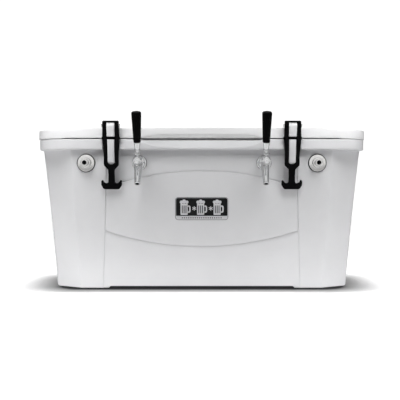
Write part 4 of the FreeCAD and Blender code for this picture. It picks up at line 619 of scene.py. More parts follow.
@dataclass(frozen=True)
class Frame:
    """Where the cooler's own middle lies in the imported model's frame."""

    shift: float

    @classmethod
    def read(cls) -> "Frame":
        """Take the middle from the cold plate, which lies centred in the tub."""
        low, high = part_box("cold_plate")
        return cls((low.y + high.y) / 2 / MM)

    def place(self, x: float = 0.0, y: float = 0.0, z: float = 0.0) -> Placement:
        """A frame at a point given from the middle of the tub."""
        return Placement((x, y + self.shift, z))


FRAME = Frame.read()


# ---------------------------------------------------------------- shells

@dataclass
class Columns:
    """The columns that every level of a box-like shell shares.

    A loop runs along the front from left to right, along the right end to the back, along
    the back to the left, and along the left end to the front again. Columns of the front
    and of the back lie opposite each other, so a level can be closed by a flat grid.

    Attributes:
        x: columns of the right front quarter at its widest level, rising from 0.
        y: their distance from the middle, front to back.
        ends: places along the ends, from -1 at the front corner to 1 at the back one.
    """

    x: Array
    y: Array
    ends: Array

    @property
    def front(self) -> int:
        """How many columns the front has."""
        return 2 * len(self.x) - 1

    def loop(self, x: Array, y: Array) -> Array:
        """A level's loop from its right front quarter: the quarter, mirrored both ways.

        Args:
            x: the quarter's columns from the middle of the front to the right end.
            y: their distance from the middle, front to back.

        Returns:
            Points n x 2.
        """
        across = np.concatenate([-x[:0:-1], x])
        away = np.concatenate([y[:0:-1], y])
        side = y[-1] * self.ends[1:-1]
        return np.concatenate([
            np.stack([across, -away], 1), np.stack([np.full_like(side, x[-1]), side], 1),
            np.stack([across[::-1], away[::-1]], 1), np.stack([np.full_like(side, -x[-1]), side[::-1]], 1)])

    def box(self, half: Pair, radius: float, key: float, end: float, inset: float = 0.0) -> Array:
        """The loop of a rounded box.

        Columns up to key keep their x on the flat front. The others share the path round
        the corner in the same proportions as on the reference level.

        Args:
            half: half sizes of the box.
            radius: radius of its corners.
            key: the last x that is kept.
            end: where the corner's columns end on the end wall.
            inset: how far the box is shrunk, corners included.

        Returns:
            Points n x 2.
        """
        across, deep, turn = half[0] - inset, half[1] - inset, radius - inset
        steps = np.hypot(np.diff(self.x), np.diff(self.y))
        way = np.concatenate([[0.0], np.cumsum(steps)])
        last = int(np.searchsorted(self.x, key + 1e-6)) - 1
        share = (way[last + 1:] - way[last]) / (way[-1] - way[last])
        run = across - turn - self.x[last]
        arc = turn * math.pi / 2
        rest = deep - turn - end
        path = share * (run + arc + rest)
        angle = np.clip((path - run) / turn, 0, math.pi / 2)
        x = self.x[last] + np.minimum(path, run) + turn * np.sin(angle)
        y = deep - turn * (1 - np.cos(angle)) - np.maximum(path - run - arc, 0)
        kept = self.x[:last + 1]
        return self.loop(np.concatenate([kept, x]), np.concatenate([np.full_like(kept, deep), y]))

    def cap(self, loop: Array) -> Array:
        """A grid inside a loop: straight lines from each front column to the one behind.

        Args:
            loop: n x 3.

        Returns:
            Grid columns x ends x 3.
        """
        count, ends = self.front, len(self.ends)
        front, back = loop[:count], loop[count + ends - 2:2 * count + ends - 2][::-1]
        share = ((self.ends + 1) / 2)[None, :, None]
        grid = front[:, None] * (1 - share) + back[:, None] * share
        grid[-1, 1:-1] = loop[count:count + ends - 2]
        grid[0, 1:-1] = loop[2 * count + ends - 2:][::-1]
        return grid


def raised(flat: Array, height: Array | float) -> Array:
    """Points n x 2 at a height each, as n x 3."""
    return np.concatenate([flat, np.broadcast_to(np.asarray(height, float), (len(flat),))[:, None]], 1)


def pocket_ring(half: Pair, corner: float, across: int, upright: int) -> Array:
    """A rounded rectangle with as many points as the block of a grid round it.

    Each side runs from the middle of one corner's arc to the middle of the next, divided
    evenly by length; a circle is a rectangle whose half sides equal its corner.

    Args:
        half: half width and half height.
        corner: radius of the corners.
        across: cells along the lower and upper sides.
        upright: cells along the right and left sides.

    Returns:
        Points n x 2, from the lower left corner, anticlockwise.
    """
    sides = []
    for turn, (a, b, cells) in enumerate(((half[0], half[1], across), (half[1], half[0], upright)) * 2):
        eighth = corner * math.pi / 4
        way = np.arange(cells) / cells * (2 * (a - corner) + 2 * eighth)
        first = np.clip(way, 0, eighth) / corner
        middle = np.clip(way - eighth, 0, 2 * (a - corner))
        last = np.clip(way - eighth - 2 * (a - corner), 0, eighth) / corner
        x = corner - a + corner * np.cos(1.25 * math.pi + first) + middle + corner * np.sin(last)
        y = corner - b + corner * np.sin(1.25 * math.pi + first) + corner * (1 - np.cos(last))
        quarter = turn * math.pi / 2
        sides.append(np.stack([x * math.cos(quarter) - y * math.sin(quarter),
                               x * math.sin(quarter) + y * math.cos(quarter)], 1))
    return np.concatenate(sides)


def nearest(columns: Array, value: float) -> int:
    """The index of the column that lies nearest to a value."""
    return int(np.argmin(np.abs(columns - value)))


@dataclass(frozen=True)
class Ring:
    """One ring of a pocket.

    Attributes:
        grow: how much larger than the pocket it is on each side.
        lift: how far it stands off the wall, whose shape it follows.
        level: its flat level, which holds instead of the lift where it is given.
    """

    grow: float
    lift: float = 0.0
    level: float | None = None


@dataclass(frozen=True)
class Pocket:
    """A pocket in a wall: a block of the wall's grid is swapped for rings that step into it.

    Attributes:
        middle: the pocket's middle in the wall's own two directions.
        half: half width and half height.
        corner: radius of its corners.
        rings: its rings, from the wall inwards.
    """

    middle: Pair
    half: Pair
    corner: float
    rings: tuple[Ring, ...]

    def fill(self, skin: Skin, grid: Array, block: Block, wall: Callable[[Array], Array],
             normal: Callable[[Array, Array], Array]) -> None:
        """Add the rings and the pocket's floor.

        Args:
            skin: where the faces go.
            grid: the wall's grid.
            block: first row, last row, first column and last column of the open block.
            wall: the wall's level at points n x 2 of the wall's two directions.
            normal: turns points n x 2 and levels into points n x 3.
        """
        low, high, left, right = block
        loops = [np.concatenate([grid[low, left:right], grid[low:high, right],
                                 grid[high, right:left:-1], grid[high:low:-1, left]])]
        for ring in self.rings:
            half = (self.half[0] + ring.grow, self.half[1] + ring.grow)
            flat = pocket_ring(half, self.corner + ring.grow, right - left, high - low) + self.middle
            level = wall(flat) + ring.lift if ring.level is None else np.full(len(flat), ring.level)
            loops.append(normal(flat, level))
        skin.grid(np.stack(loops), around=True)
        skin.flat(loops[-1])


# How far in from the face each level of the finger scoop lies, as shares of its reach.
SCOOP_SHARES = (0.02, 0.05, 0.09, 0.15, 0.24, 0.38, 0.6, 1.0)


@dataclass
class Tub:
    """The insulated tub: leaning walls with a facet across each corner, a moulded front
    panel, hand grips, ports, a rim with its finger scoop, and the ice well.

    Attributes:
        wall_top: height of the wall under the rim.
        base, top: half width, half depth and the crease's place, at the floor and up there.
        facet: the angle of the facets, in degrees.
        crease_round, corner_round: radii along both edges of a facet.
        flare_size: how far the ends curve out, from which height, over what height.
        flare_from: where on the front the flare starts, and over what width it grows.
        base_round, channel_round: rounding of the lower edge, at the feet and between them.
        foot_stand, foot_rise: height of the feet's underside, and of the channels above it.
        foot_inner, foot_ramp: half width and half depth of the channels, and their slope.
        rim_half, rim_top, rim_round, plan_corner: the rim's half sizes, height and radii.
        scoop, scoop_reach: the finger scoop's half width and depth, and how far in it goes.
        well_top, well_base: the well's half sizes at the rim and at its floor.
        well_corner, well_floor, well_round: its corners, its floor's height and rounding.
        well_key: the last column on the well's flat front.
        panel_edge: half width of the panel, at the floor and under the rim.
        panel_deep, panel_step: how deep the panel lies, and how wide its soft steps are.
        groove, pad_gap: depth and half width of the groove, and the pad's inset.
        pad_low, pad_top: end height, half width and rise of the pad's two arcs.
        tap, inlet: place across, height and seat of the ports.
        drain: height and seat of the drain's recess.
        latch_out, latch_plane, notch_half: the latches' place, their straps' plane given by
            start, slope and top, and half the width of the notches behind them.
        columns: the columns that all levels share.
    """

    wall_top: float = 386.2
    base: Triple = (416.0, 182.0, 338.0)
    top: Triple = (448.0, 208.0, 363.6)
    facet: float = 36.0
    crease_round: float = 5.0
    corner_round: float = 28.0
    flare_size: Triple = (4.0, 120.0, 266.0)
    flare_from: Pair = (370.0, 60.0)
    base_round: float = 5.0
    channel_round: float = 1.5
    foot_stand: float = 0.5
    foot_rise: float = 5.0
    foot_inner: Pair = (261.0, 105.0)
    foot_ramp: float = 4.0
    rim_half: Pair = (455.0, 228.0)
    rim_top: float = 414.2
    rim_round: float = 2.5
    plan_corner: float = 60.0
    scoop: Pair = (171.0, 20.6)
    scoop_reach: float = 26.0
    well_top: Pair = (392.0, 160.0)
    well_base: Pair = (364.0, 142.0)
    well_corner: float = 40.0
    well_floor: float = 60.0
    well_round: float = 10.0
    well_key: float = 289.0
    panel_edge: Pair = (275.6, 263.4)
    panel_deep: float = 2.0
    panel_step: float = 1.4
    groove: Pair = (1.4, 1.6)
    pad_gap: float = 2.6
    pad_low: Triple = (162.0, 267.9, 43.0)
    pad_top: Triple = (281.0, 264.1, 46.0)
    tap: Triple = (173.0, 350.0, 201.749)
    inlet: Triple = (320.6, 349.5, 203.278)
    drain: Pair = (90.0, 403.457)
    latch_out: float = 248.5
    latch_plane: Triple = (-234.617, 0.17813, 449.5)
    notch_half: float = 23.7
    columns: Columns = field(init=False)

    def __post_init__(self) -> None:
        """Lay out the columns, with one on every edge of the panel, ports and notches."""
        edge = self.panel_edge[1]
        self.flat_x = np.concatenate([
            [0, 20, 40, 60, 80, 100, 120, 134], np.linspace(145, 201, 13),
            [212, 224.2, 225.0, 238, 250.4, 252.8],
            edge + np.array([-4.2, -3.4, -2.6, -1.9, -1.3, -0.7, 0, 0.7, 1.4]),
            [272.0, 272.8, 281], np.linspace(289, 352, 13), [358.0, self.top[2] - self.crease_reach]])
        x, y = self.quarter(*self.top, self.flat_x)
        block = np.linspace(-0.345, 0.345, 13)
        outer = np.array([0.45, 0.54, 0.626, 0.72, 0.82, 0.9095, 0.9455, 1.0])
        self.columns = Columns(x, y, np.concatenate([-outer[::-1], block, outer]))
        self.top_loop = self.columns.loop(x, y)
        knots = np.array([0, 240, edge - 4.2, edge, self.top[2] - self.crease_reach])
        shift = self.panel_edge[0] - edge
        base = np.interp(self.flat_x, knots,
                         [0, 240, knots[2] + shift, edge + shift, self.base[2] - self.crease_reach])
        self.base_loop = self.columns.loop(*self.quarter(*self.base, base))

    @property
    def crease_reach(self) -> float:
        """How far the crease's rounding reaches along the front: r tan(facet / 2)."""
        return self.crease_round * math.tan(math.radians(self.facet / 2))

    def quarter(self, half: float, deep: float, crease: float, flat: Array) -> tuple[Array, Array]:
        """The right front quarter of the wall's outline.

        The flat front, an arc that turns by the facet's angle, the facet, and an arc that
        turns the rest of the way to the end: along an arc from angle a to b and radius r,
        x grows by r (sin b - sin a) and y falls by r (cos a - cos b).

        Args:
            half: half width.
            deep: half depth.
            crease: where front and facet meet.
            flat: columns of the flat front.

        Returns:
            x and y of the columns.
        """
        facet = math.radians(self.facet)
        turn = np.linspace(0, facet, 4)[1:]
        x1 = flat[-1] + self.crease_round * np.sin(turn)
        y1 = deep - self.crease_round * (1 - np.cos(turn))
        corner = np.array([half, deep - (half - crease) * math.tan(facet)])
        reach = self.corner_round * math.tan((math.pi / 2 - facet) / 2)
        start = corner + reach * np.array([-math.cos(facet), math.sin(facet)])
        share = np.linspace(0, 1, 8)[1:, None]
        run = np.array([x1[-1], y1[-1]]) * (1 - share) + start * share
        bend = np.linspace(facet, math.pi / 2, 8)[1:]
        x3 = start[0] + self.corner_round * (np.sin(bend) - math.sin(facet))
        y3 = start[1] - self.corner_round * (math.cos(facet) - np.cos(bend))
        return (np.concatenate([flat, x1, run[:, 0], x3]),
                np.concatenate([np.full_like(flat, deep), y1, run[:, 1], y3]))

    @staticmethod
    def arc(x: Array, end: float, half: float, rise: float) -> Array:
        """Height of an arc through (+-half, end) that rises by rise in the middle.

        The circle's radius is (half^2 + rise^2) / (2 rise). Beyond half it stays at end.
        """
        radius = (half * half + rise * rise) / (2 * abs(rise))
        bow = np.sqrt(np.maximum(radius**2 - np.minimum(np.abs(x), half) ** 2, 0)) - (radius - abs(rise))
        return end + math.copysign(1, rise) * bow

    def recess(self, x: Array, z: Array) -> Array:
        """How deep the front panel lies at (x, z): full depth inside its edges, none on
        the raised pad between the two arcs, with soft steps and a groove along the foot
        of the pad's step."""
        edge = self.panel_edge[0] + (self.panel_edge[1] - self.panel_edge[0]) * z / self.wall_top
        inside = edge - np.abs(x)
        pad = np.minimum(inside - self.pad_gap, np.minimum(
            z - self.arc(x, self.pad_low[0], self.pad_low[1], -self.pad_low[2]),
            self.arc(x, self.pad_top[0], self.pad_top[1], self.pad_top[2]) - z))
        step, (deep, wide) = self.panel_step, self.groove
        groove = deep * smooth(1 - np.abs(pad + step / 2) / wide) * smooth(inside / step - 1.0)
        return self.panel_deep * smooth(inside / step + 0.5) * (1 - smooth(pad / step + 0.5)) + groove

    def underside(self, flat: Array) -> Array:
        """Height of the underside at n x 2: the feet stand lower than the two channels."""
        lift = np.clip((np.array(self.foot_inner) - np.abs(flat)) / self.foot_ramp, 0, 1).max(-1)
        return self.foot_stand + self.foot_rise * lift

    def wall_grid(self) -> Array:
        """The outer wall from the bottom rounding to the rim.

        Every column is a straight leaning line from the base's outline to the top's. Its
        rows close in on the two arcs of the raised pad, and the front is then pushed in by
        the panel's recess.
        """
        middle = self.base_loop * 0.6 + self.top_loop * 0.4
        low = self.arc(middle[:, 0], self.pad_low[0], self.pad_low[1], -self.pad_low[2])
        high = self.arc(middle[:, 0], self.pad_top[0], self.pad_top[1], self.pad_top[2])
        foot = self.underside(self.base_loop)
        share = (foot - self.foot_stand) / self.foot_rise
        bend = self.base_round + (self.channel_round - self.base_round) * share
        start = foot + bend
        step, near = self.panel_step, (-1.0, -0.5, 0.0, 0.5)
        lower = np.concatenate([[0, 0.12], np.linspace(0.26, 0.84, 13), [0.92]])
        upper = np.concatenate([[0, 0.07], np.linspace(0.15, 0.9, 13), [0.96, 1.0]])
        rows = [start + (low - step - start) * part for part in lower]
        rows += [low + step * part for part in near]
        rows += [low + step + (high - low - 2 * step) * part for part in np.linspace(0, 1, 7)[:-1]]
        rows += [high + step * part for part in near]
        self.first_upper = len(rows)
        rows += [high + step + (self.wall_top - high - step) * part for part in upper]
        z = np.stack(rows)
        lean = (z / self.wall_top)[..., None]
        flat = self.base_loop * (1 - lean) + self.top_loop * lean
        first, reach = self.flare_from
        flare = self.flare(z) * smooth((np.abs(flat[..., 0]) - first) / reach)
        flat[..., 0] += np.sign(flat[..., 0]) * flare
        front = self.columns.front
        flat[:, :front, 1] += self.recess(flat[:, :front, 0], z[:, :front])
        grid = np.concatenate([flat, z[..., None]], -1)
        into = inward(self.base_loop)
        bottom = []
        for inset, rise in rounding(1.0, 4)[:-1]:
            bottom.append(raised(grid[0, :, :2] + into * (bend * inset)[:, None], foot + bend * rise))
        self.first_wall = len(bottom)
        return np.concatenate([np.stack(bottom), grid])

    def flare(self, z: Array) -> Array:
        """How far the ends curve outwards: size ((z - start) / tall)^2 above the start."""
        size, start, tall = self.flare_size
        return size * (np.clip(z - start, 0, None) / tall) ** 2

    def front_wall(self, points: Array) -> Array:
        """The front's y at points n x 2 of x and z, above the panel's raised pad."""
        return self.recess(points[:, 0], points[:, 1]) - (
            self.base[1] + (self.top[1] - self.base[1]) * points[:, 1] / self.wall_top)

    def end_wall(self, points: Array) -> Array:
        """How far out an end is at points n x 2 of y and z."""
        z = points[:, 1]
        return self.base[0] + (self.top[0] - self.base[0]) * z / self.wall_top + self.flare(z)

    def ports(self, skin: Skin, grid: Array) -> list[Block]:
        """Sink the seats of taps and inlets into the front.

        Args:
            skin: where the faces go.
            grid: the wall's grid.

        Returns:
            The blocks that the wall's grid leaves open.
        """
        holes = []
        upper = self.first_wall + self.first_upper
        centre = len(self.columns.x) - 1
        for side in Side:
            sign = side.value
            for (out, height, seat), radius, span, rows in (
                    (self.tap, 21.0, (145, 201), (2, 14)), (self.inlet, 25.8, (289, 352), (5, 15))):
                pair = sorted(centre + sign * nearest(self.flat_x, value) for value in span)
                holes.append((upper + rows[0], upper + rows[1], *pair))
                rings = (Ring(1.2), Ring(0.4), Ring(0.0, 0.3),
                         Ring(0.0, level=-seat), Ring(-3.0, level=-seat))
                Pocket((sign * out, height), (radius, radius), radius, rings).fill(
                    skin, grid, holes[-1], self.front_wall,
                    lambda flat, level: np.stack([flat[:, 0], level, flat[:, 1]], 1))
        return holes

    def end_pockets(self, skin: Skin, grid: Array) -> list[Block]:
        """Sink a grip into each end and the drain's recess into the right one.

        Columns run from front to back along the right end, and back along the left one.

        Args:
            skin: where the faces go.
            grid: the wall's grid.

        Returns:
            The blocks that the wall's grid leaves open.
        """
        holes = []
        count, ends = self.columns.front, self.columns.ends
        upper = self.first_wall + self.first_upper
        height, seat = self.drain
        grip = Pocket((0.0, 358.2), (74.0, 25.8), 18.0, (
            Ring(2.4), Ring(1.2), Ring(0.5, -0.3), Ring(0.1, -0.9), Ring(-0.2, level=429.0),
            Ring(-0.9, level=426.0), Ring(-2.4, level=424.4), Ring(-5.0, level=424.0)))
        drain = Pocket((0.0, height), (33.0, 33.0), 33.0, (
            Ring(2.0), Ring(1.0), Ring(0.4, -0.3), Ring(0.0, -1.0), Ring(-0.2, level=seat + 2.0),
            Ring(-0.8, level=seat + 0.6), Ring(-2.2, level=seat), Ring(-8.0, level=seat)))
        for side in Side:
            sign = side.value
            first = count - 1 if side is Side.RIGHT else 2 * (count + len(ends)) - 4
            sunk = [(grip, (upper + 5, upper + 16), 0.626)]
            if side is Side.RIGHT:
                sunk.append((drain, (self.first_wall + 2, self.first_wall + 14), 0.345))
            for pocket, rows, reach in sunk:
                pair = sorted(first + sign * nearest(ends, value) for value in (-reach, reach))
                holes.append((*rows, *pair))
                pocket.fill(skin, grid, holes[-1], self.end_wall,
                            lambda flat, level: np.stack([sign * level, sign * flat[:, 0], flat[:, 1]], 1))
        return holes

    def notched(self, level: Array) -> Array:
        """A rim level with the two notches behind the latches.

        Behind a latch the rim's face follows the strap's leaning plane, y = start +
        slope (top - z), where that lies further in than the face.
        """
        start, slope, top = self.latch_plane
        plane = start + slope * (top - level[:, 2])
        near = np.abs(np.abs(level[:, 0]) - self.latch_out) < self.notch_half
        near &= level[:, 1] < -200
        level[:, 1] = np.where(near, np.maximum(level[:, 1], plane), level[:, 1])
        return level

    def dip(self, flat: Array) -> Array:
        """How far the finger scoop lowers the rim's face at n x 2: deep (1 - |x / half|^7)."""
        half, deep = self.scoop
        arc = deep * (1 - np.minimum(np.abs(flat[:, 0]) / half, 1.0) ** 7)
        return np.where(flat[:, 1] < -150, arc, 0.0)

    def rim(self, inset: float = 0.0) -> Array:
        """The rim's outline shrunk by inset."""
        return self.columns.box(self.rim_half, self.plan_corner, self.flat_x[-1], self.columns.y[-1], inset)

    def rim_levels(self) -> Array:
        """The rim from the wall's top, out, up its face, over its top and into the well.

        Behind the finger scoop's lowered edge, what is left of its depth at the share p of
        its reach is the share (1 - p)^5.
        """
        low, high, turn = self.wall_top, self.rim_top, self.rim_round
        levels = [self.notched(raised(self.rim(inset), low + rise)) for inset, rise in rounding(turn, 4)]
        face = self.rim()
        top = high - turn - self.dip(face)
        for part in (0.3, 0.65, 1.0):
            levels.append(self.notched(raised(face, low + turn + (top - low - turn) * part)))
        for drop, inset in rounding(turn, 4)[1:]:
            levels.append(self.notched(raised(self.rim(inset), top + turn - drop)))
        for part in SCOOP_SHARES:
            loop = self.rim(turn + (self.scoop_reach - turn) * part)
            levels.append(raised(loop, high - self.dip(loop) * (1 - part) ** 5))
        for inset, drop in ((-2.0, 0.0), (-0.6, 0.6), (0.0, 2.0)):
            loop = self.columns.box(self.well_top, self.well_corner, self.well_key, 110.0, inset)
            levels.append(raised(loop, high - drop))
        return np.stack(levels)

    def well_levels(self) -> Array:
        """The well's leaning walls and the rounding at its floor."""
        levels = []
        heights = [(z, 0.0) for z in (390.0, 330.0, 240.0, 150.0, 90.0)]
        heights += [(self.well_floor + rise, inset) for rise, inset in rounding(self.well_round, 4)]
        for z, inset in heights:
            share = (z - self.well_floor) / (self.rim_top - self.well_floor)
            half = tuple(base + (top - base) * share for base, top in zip(self.well_base, self.well_top))
            loop = self.columns.box(half, self.well_corner, self.well_key, 100.0 + 10.0 * share, inset)
            levels.append(raised(loop, z))
        return np.stack(levels)

    def build(self) -> bpy.types.Object:
        """Make the shell of the tub as one closed skin."""
        sunk, shell = Skin(), Skin()
        place = FRAME.place().put
        wall = self.wall_grid()
        holes = self.ports(sunk, wall) + self.end_pockets(sunk, wall)
        rim, well = self.rim_levels(), self.well_levels()
        foot = self.columns.cap(wall[0])
        inside = foot[1:-1, 1:-1]
        inside[..., 2] = self.underside(inside[..., :2])
        shell.grid(place(wall), around=True, holes=holes)
        shell.grid(place(np.concatenate([wall[-1:], rim, well])), around=True)
        shell.grid(place(foot))
        shell.grid(place(self.columns.cap(well[-1])))
        shell.adopt(sunk, place)
        return shell.piece("tub_skin", sharp=48.0)


@dataclass
class Lid:
    """The hinged lid: a raised deck between two lower ends, the shadow gap and the finger
    scoop under its front edge, and the plug that closes the well.

    Attributes:
        low: height of its lower edge.
        shoulder: height of its ends.
        deck: height of the deck.
        half: half width and half depth.
        plan_corner: radius of its corners.
        key: the last column on the flat front.
        end: where the corner's columns end on the end wall.
        deck_half: half width of the deck.
        ramp: width of the slope between deck and shoulder.
        edge_round: rounding of the upper edge.
        lip_round: rounding of the lower edge.
        gap_size: the shadow gap's half width, height and depth.
        scoop: the finger scoop's half width and height.
        plug_half: the plug's half width and half depth.
        plug_corner: radius of its corners.
        plug_low: height of its underside.
        columns: the columns that its levels share.
    """

    low: float = 415.2
    shoulder: float = 440.4
    deck: float = 445.6
    half: Pair = (457.0, 228.5)
    plan_corner: float = 60.0
    key: float = 388.0
    end: float = 150.0
    deck_half: float = 330.0
    ramp: float = 23.0
    edge_round: float = 3.0
    lip_round: float = 1.5
    gap_size: Triple = (385.0, 1.9, 20.0)
    scoop: Pair = (171.0, 11.0)
    plug_half: Pair = (386.0, 154.0)
    plug_corner: float = 34.0
    plug_low: float = 397.2
    columns: Columns = field(init=False)

    def __post_init__(self) -> None:
        """Lay out the columns, with some on the deck's ramps and the ends of the gap."""
        x = np.concatenate([
            np.arange(0, 150, 15.0), np.linspace(150, 180, 7), np.arange(195, 320, 20.0),
            [320, 327, 329, 331, 333, 342, 350, 352, 354, 356, 361, 366.8, 370, 374, 377, 380, self.key]])
        turn = self.plan_corner
        run, arc = self.half[0] - turn - self.key, turn * math.pi / 2
        rest = self.half[1] - turn - self.end
        path = np.linspace(0, 1, 15)[1:] * (run + arc + rest)
        angle = np.clip((path - run) / turn, 0, math.pi / 2)
        corner_x = self.key + np.minimum(path, run) + turn * np.sin(angle)
        corner_y = self.half[1] - turn * (1 - np.cos(angle)) - np.maximum(path - run - arc, 0)
        y = np.concatenate([np.full_like(x, self.half[1]), corner_y])
        self.columns = Columns(np.concatenate([x, corner_x]), y, np.linspace(-1, 1, 19))

    def top(self, x: Array) -> Array:
        """Height of the top at x: the deck, a straight ramp, then the lower end."""
        share = np.clip((self.deck_half + self.ramp - np.abs(x)) / self.ramp, 0, 1)
        return self.shoulder + (self.deck - self.shoulder) * (0.6 * share + 0.4 * smooth(share))

    def gap(self, flat: Array) -> Array:
        """How much the shadow gap lifts the lower edge at n x 2, along the front only."""
        half, high, _ = self.gap_size
        share = np.clip((half - np.abs(flat[:, 0])) / (4 * high), 0, 1)
        return np.where(flat[:, 1] < -150, high * share, 0.0)

    def bottom(self, flat: Array) -> Array:
        """Height of the lower edge at n x 2: the gap, or the finger scoop where it is higher.

        The scoop rises by rise (1 - |x / half|^7).
        """
        half, rise = self.scoop
        arc = rise * (1 - np.minimum(np.abs(flat[:, 0]) / half, 1.0) ** 7)
        return self.low + np.maximum(self.gap(flat), np.where(flat[:, 1] < -190, arc, 0.0))

    def level(self, inset: float) -> Array:
        """The lid's outline shrunk by inset."""
        return self.columns.box(self.half, self.plan_corner, self.key, self.end, inset)

    def build(self) -> bpy.types.Object:
        """Make the lid's shell as one closed skin, from its deck round to the plug.

        Behind the front's lower edge, what is left of the scoop's height above the gap at
        the share p of the gap's depth is the share (1 - p)^9.
        """
        levels = []
        for inset, drop in rounding(self.edge_round, 5):
            loop = self.level(inset)
            levels.append(raised(loop, self.top(loop[:, 0]) - drop))
        face, lip = self.level(0.0), self.lip_round
        high, low = self.top(face[:, 0]) - self.edge_round, self.bottom(face)
        levels += [raised(face, high + (low + lip - high) * part) for part in (0.33, 0.66, 1.0)]
        levels += [raised(self.level(inset), low + rise) for rise, inset in rounding(lip, 3)[1:]]
        slot = self.low + self.gap(face)
        for part in SCOOP_SHARES:
            loop = self.level(lip + (self.gap_size[2] - lip) * part)
            levels.append(raised(loop, slot + (low - slot) * (1 - part) ** 9))
        levels += [raised(self.level(28.0), slot), raised(self.level(28.5), self.low)]
        for inset, height in ((0.0, self.low), (0.0, self.plug_low + 3), (0.9, self.plug_low + 0.9),
                              (3.0, self.plug_low)):
            loop = self.columns.box(self.plug_half, self.plug_corner, 320.0, 108.0, inset)
            levels.append(raised(loop, height))
        skin = Skin()
        place = FRAME.place().put
        skin.grid(place(np.stack(levels)), around=True)
        top = self.columns.cap(levels[0])
        top[..., 2] = self.top(top[..., 0])
        skin.grid(place(top))
        skin.grid(place(self.columns.cap(levels[-1])))
        return skin.piece("lid_skin", sharp=48.0)


@dataclass
class Hinges:
    """The knuckles of both hinges with their gussets, moulded with the tub and the lid.

    Attributes:
        axis: distance behind the middle, and height, of the hinges' axis.
        radius: radius of the barrels.
        long: length of a knuckle.
        pitch: distance from knuckle to knuckle.
        out: distance of a hinge's middle from the cooler's.
    """

    axis: Pair = (238.0, 416.0)
    radius: float = 9.0
    long: float = 28.0
    pitch: float = 29.0
    out: float = 240.0

    def outline(self, upwards: bool) -> Array:
        """Side view of a knuckle and its gusset: the barrel's circle, left along straight
        lines to the wall above it or below it.

        Args:
            upwards: whether the gusset rises (the lid's) or falls (the tub's).

        Returns:
            Points n x 2 of y and z.
        """
        y, z = self.axis
        start, end = (164, 398) if upwards else (-38, 196)
        angle = np.radians(np.linspace(start, end, 22))
        barrel = np.stack([y + self.radius * np.cos(angle), z + self.radius * np.sin(angle)], 1)
        if upwards:
            wall = np.array([[232.5, 437.0], [226.0, 439.2], [226.0, 415.9]])
        else:
            wall = np.array([[226.0, 413.4], [226.0, 389.8], [231.0, 391.6]])
        return np.concatenate([barrel, wall])

    def build(self, owner: str, slots: Sequence[int], upwards: bool) -> bpy.types.Object:
        """Make all of one owner's knuckles as one piece.

        Args:
            owner: tub or lid.
            slots: the knuckles' places, counted from the middle of each hinge.
            upwards: whether their gussets rise.

        Returns:
            The piece.
        """
        skin = Skin()
        outline = self.outline(upwards)
        for side in Side:
            for slot in slots:
                middle = side.value * (self.out + slot * self.pitch)
                prism(skin, outline, FRAME.place(middle), self.long / 2, 1.0)
        return skin.piece(f"{owner}_knuckles", sharp=40.0)


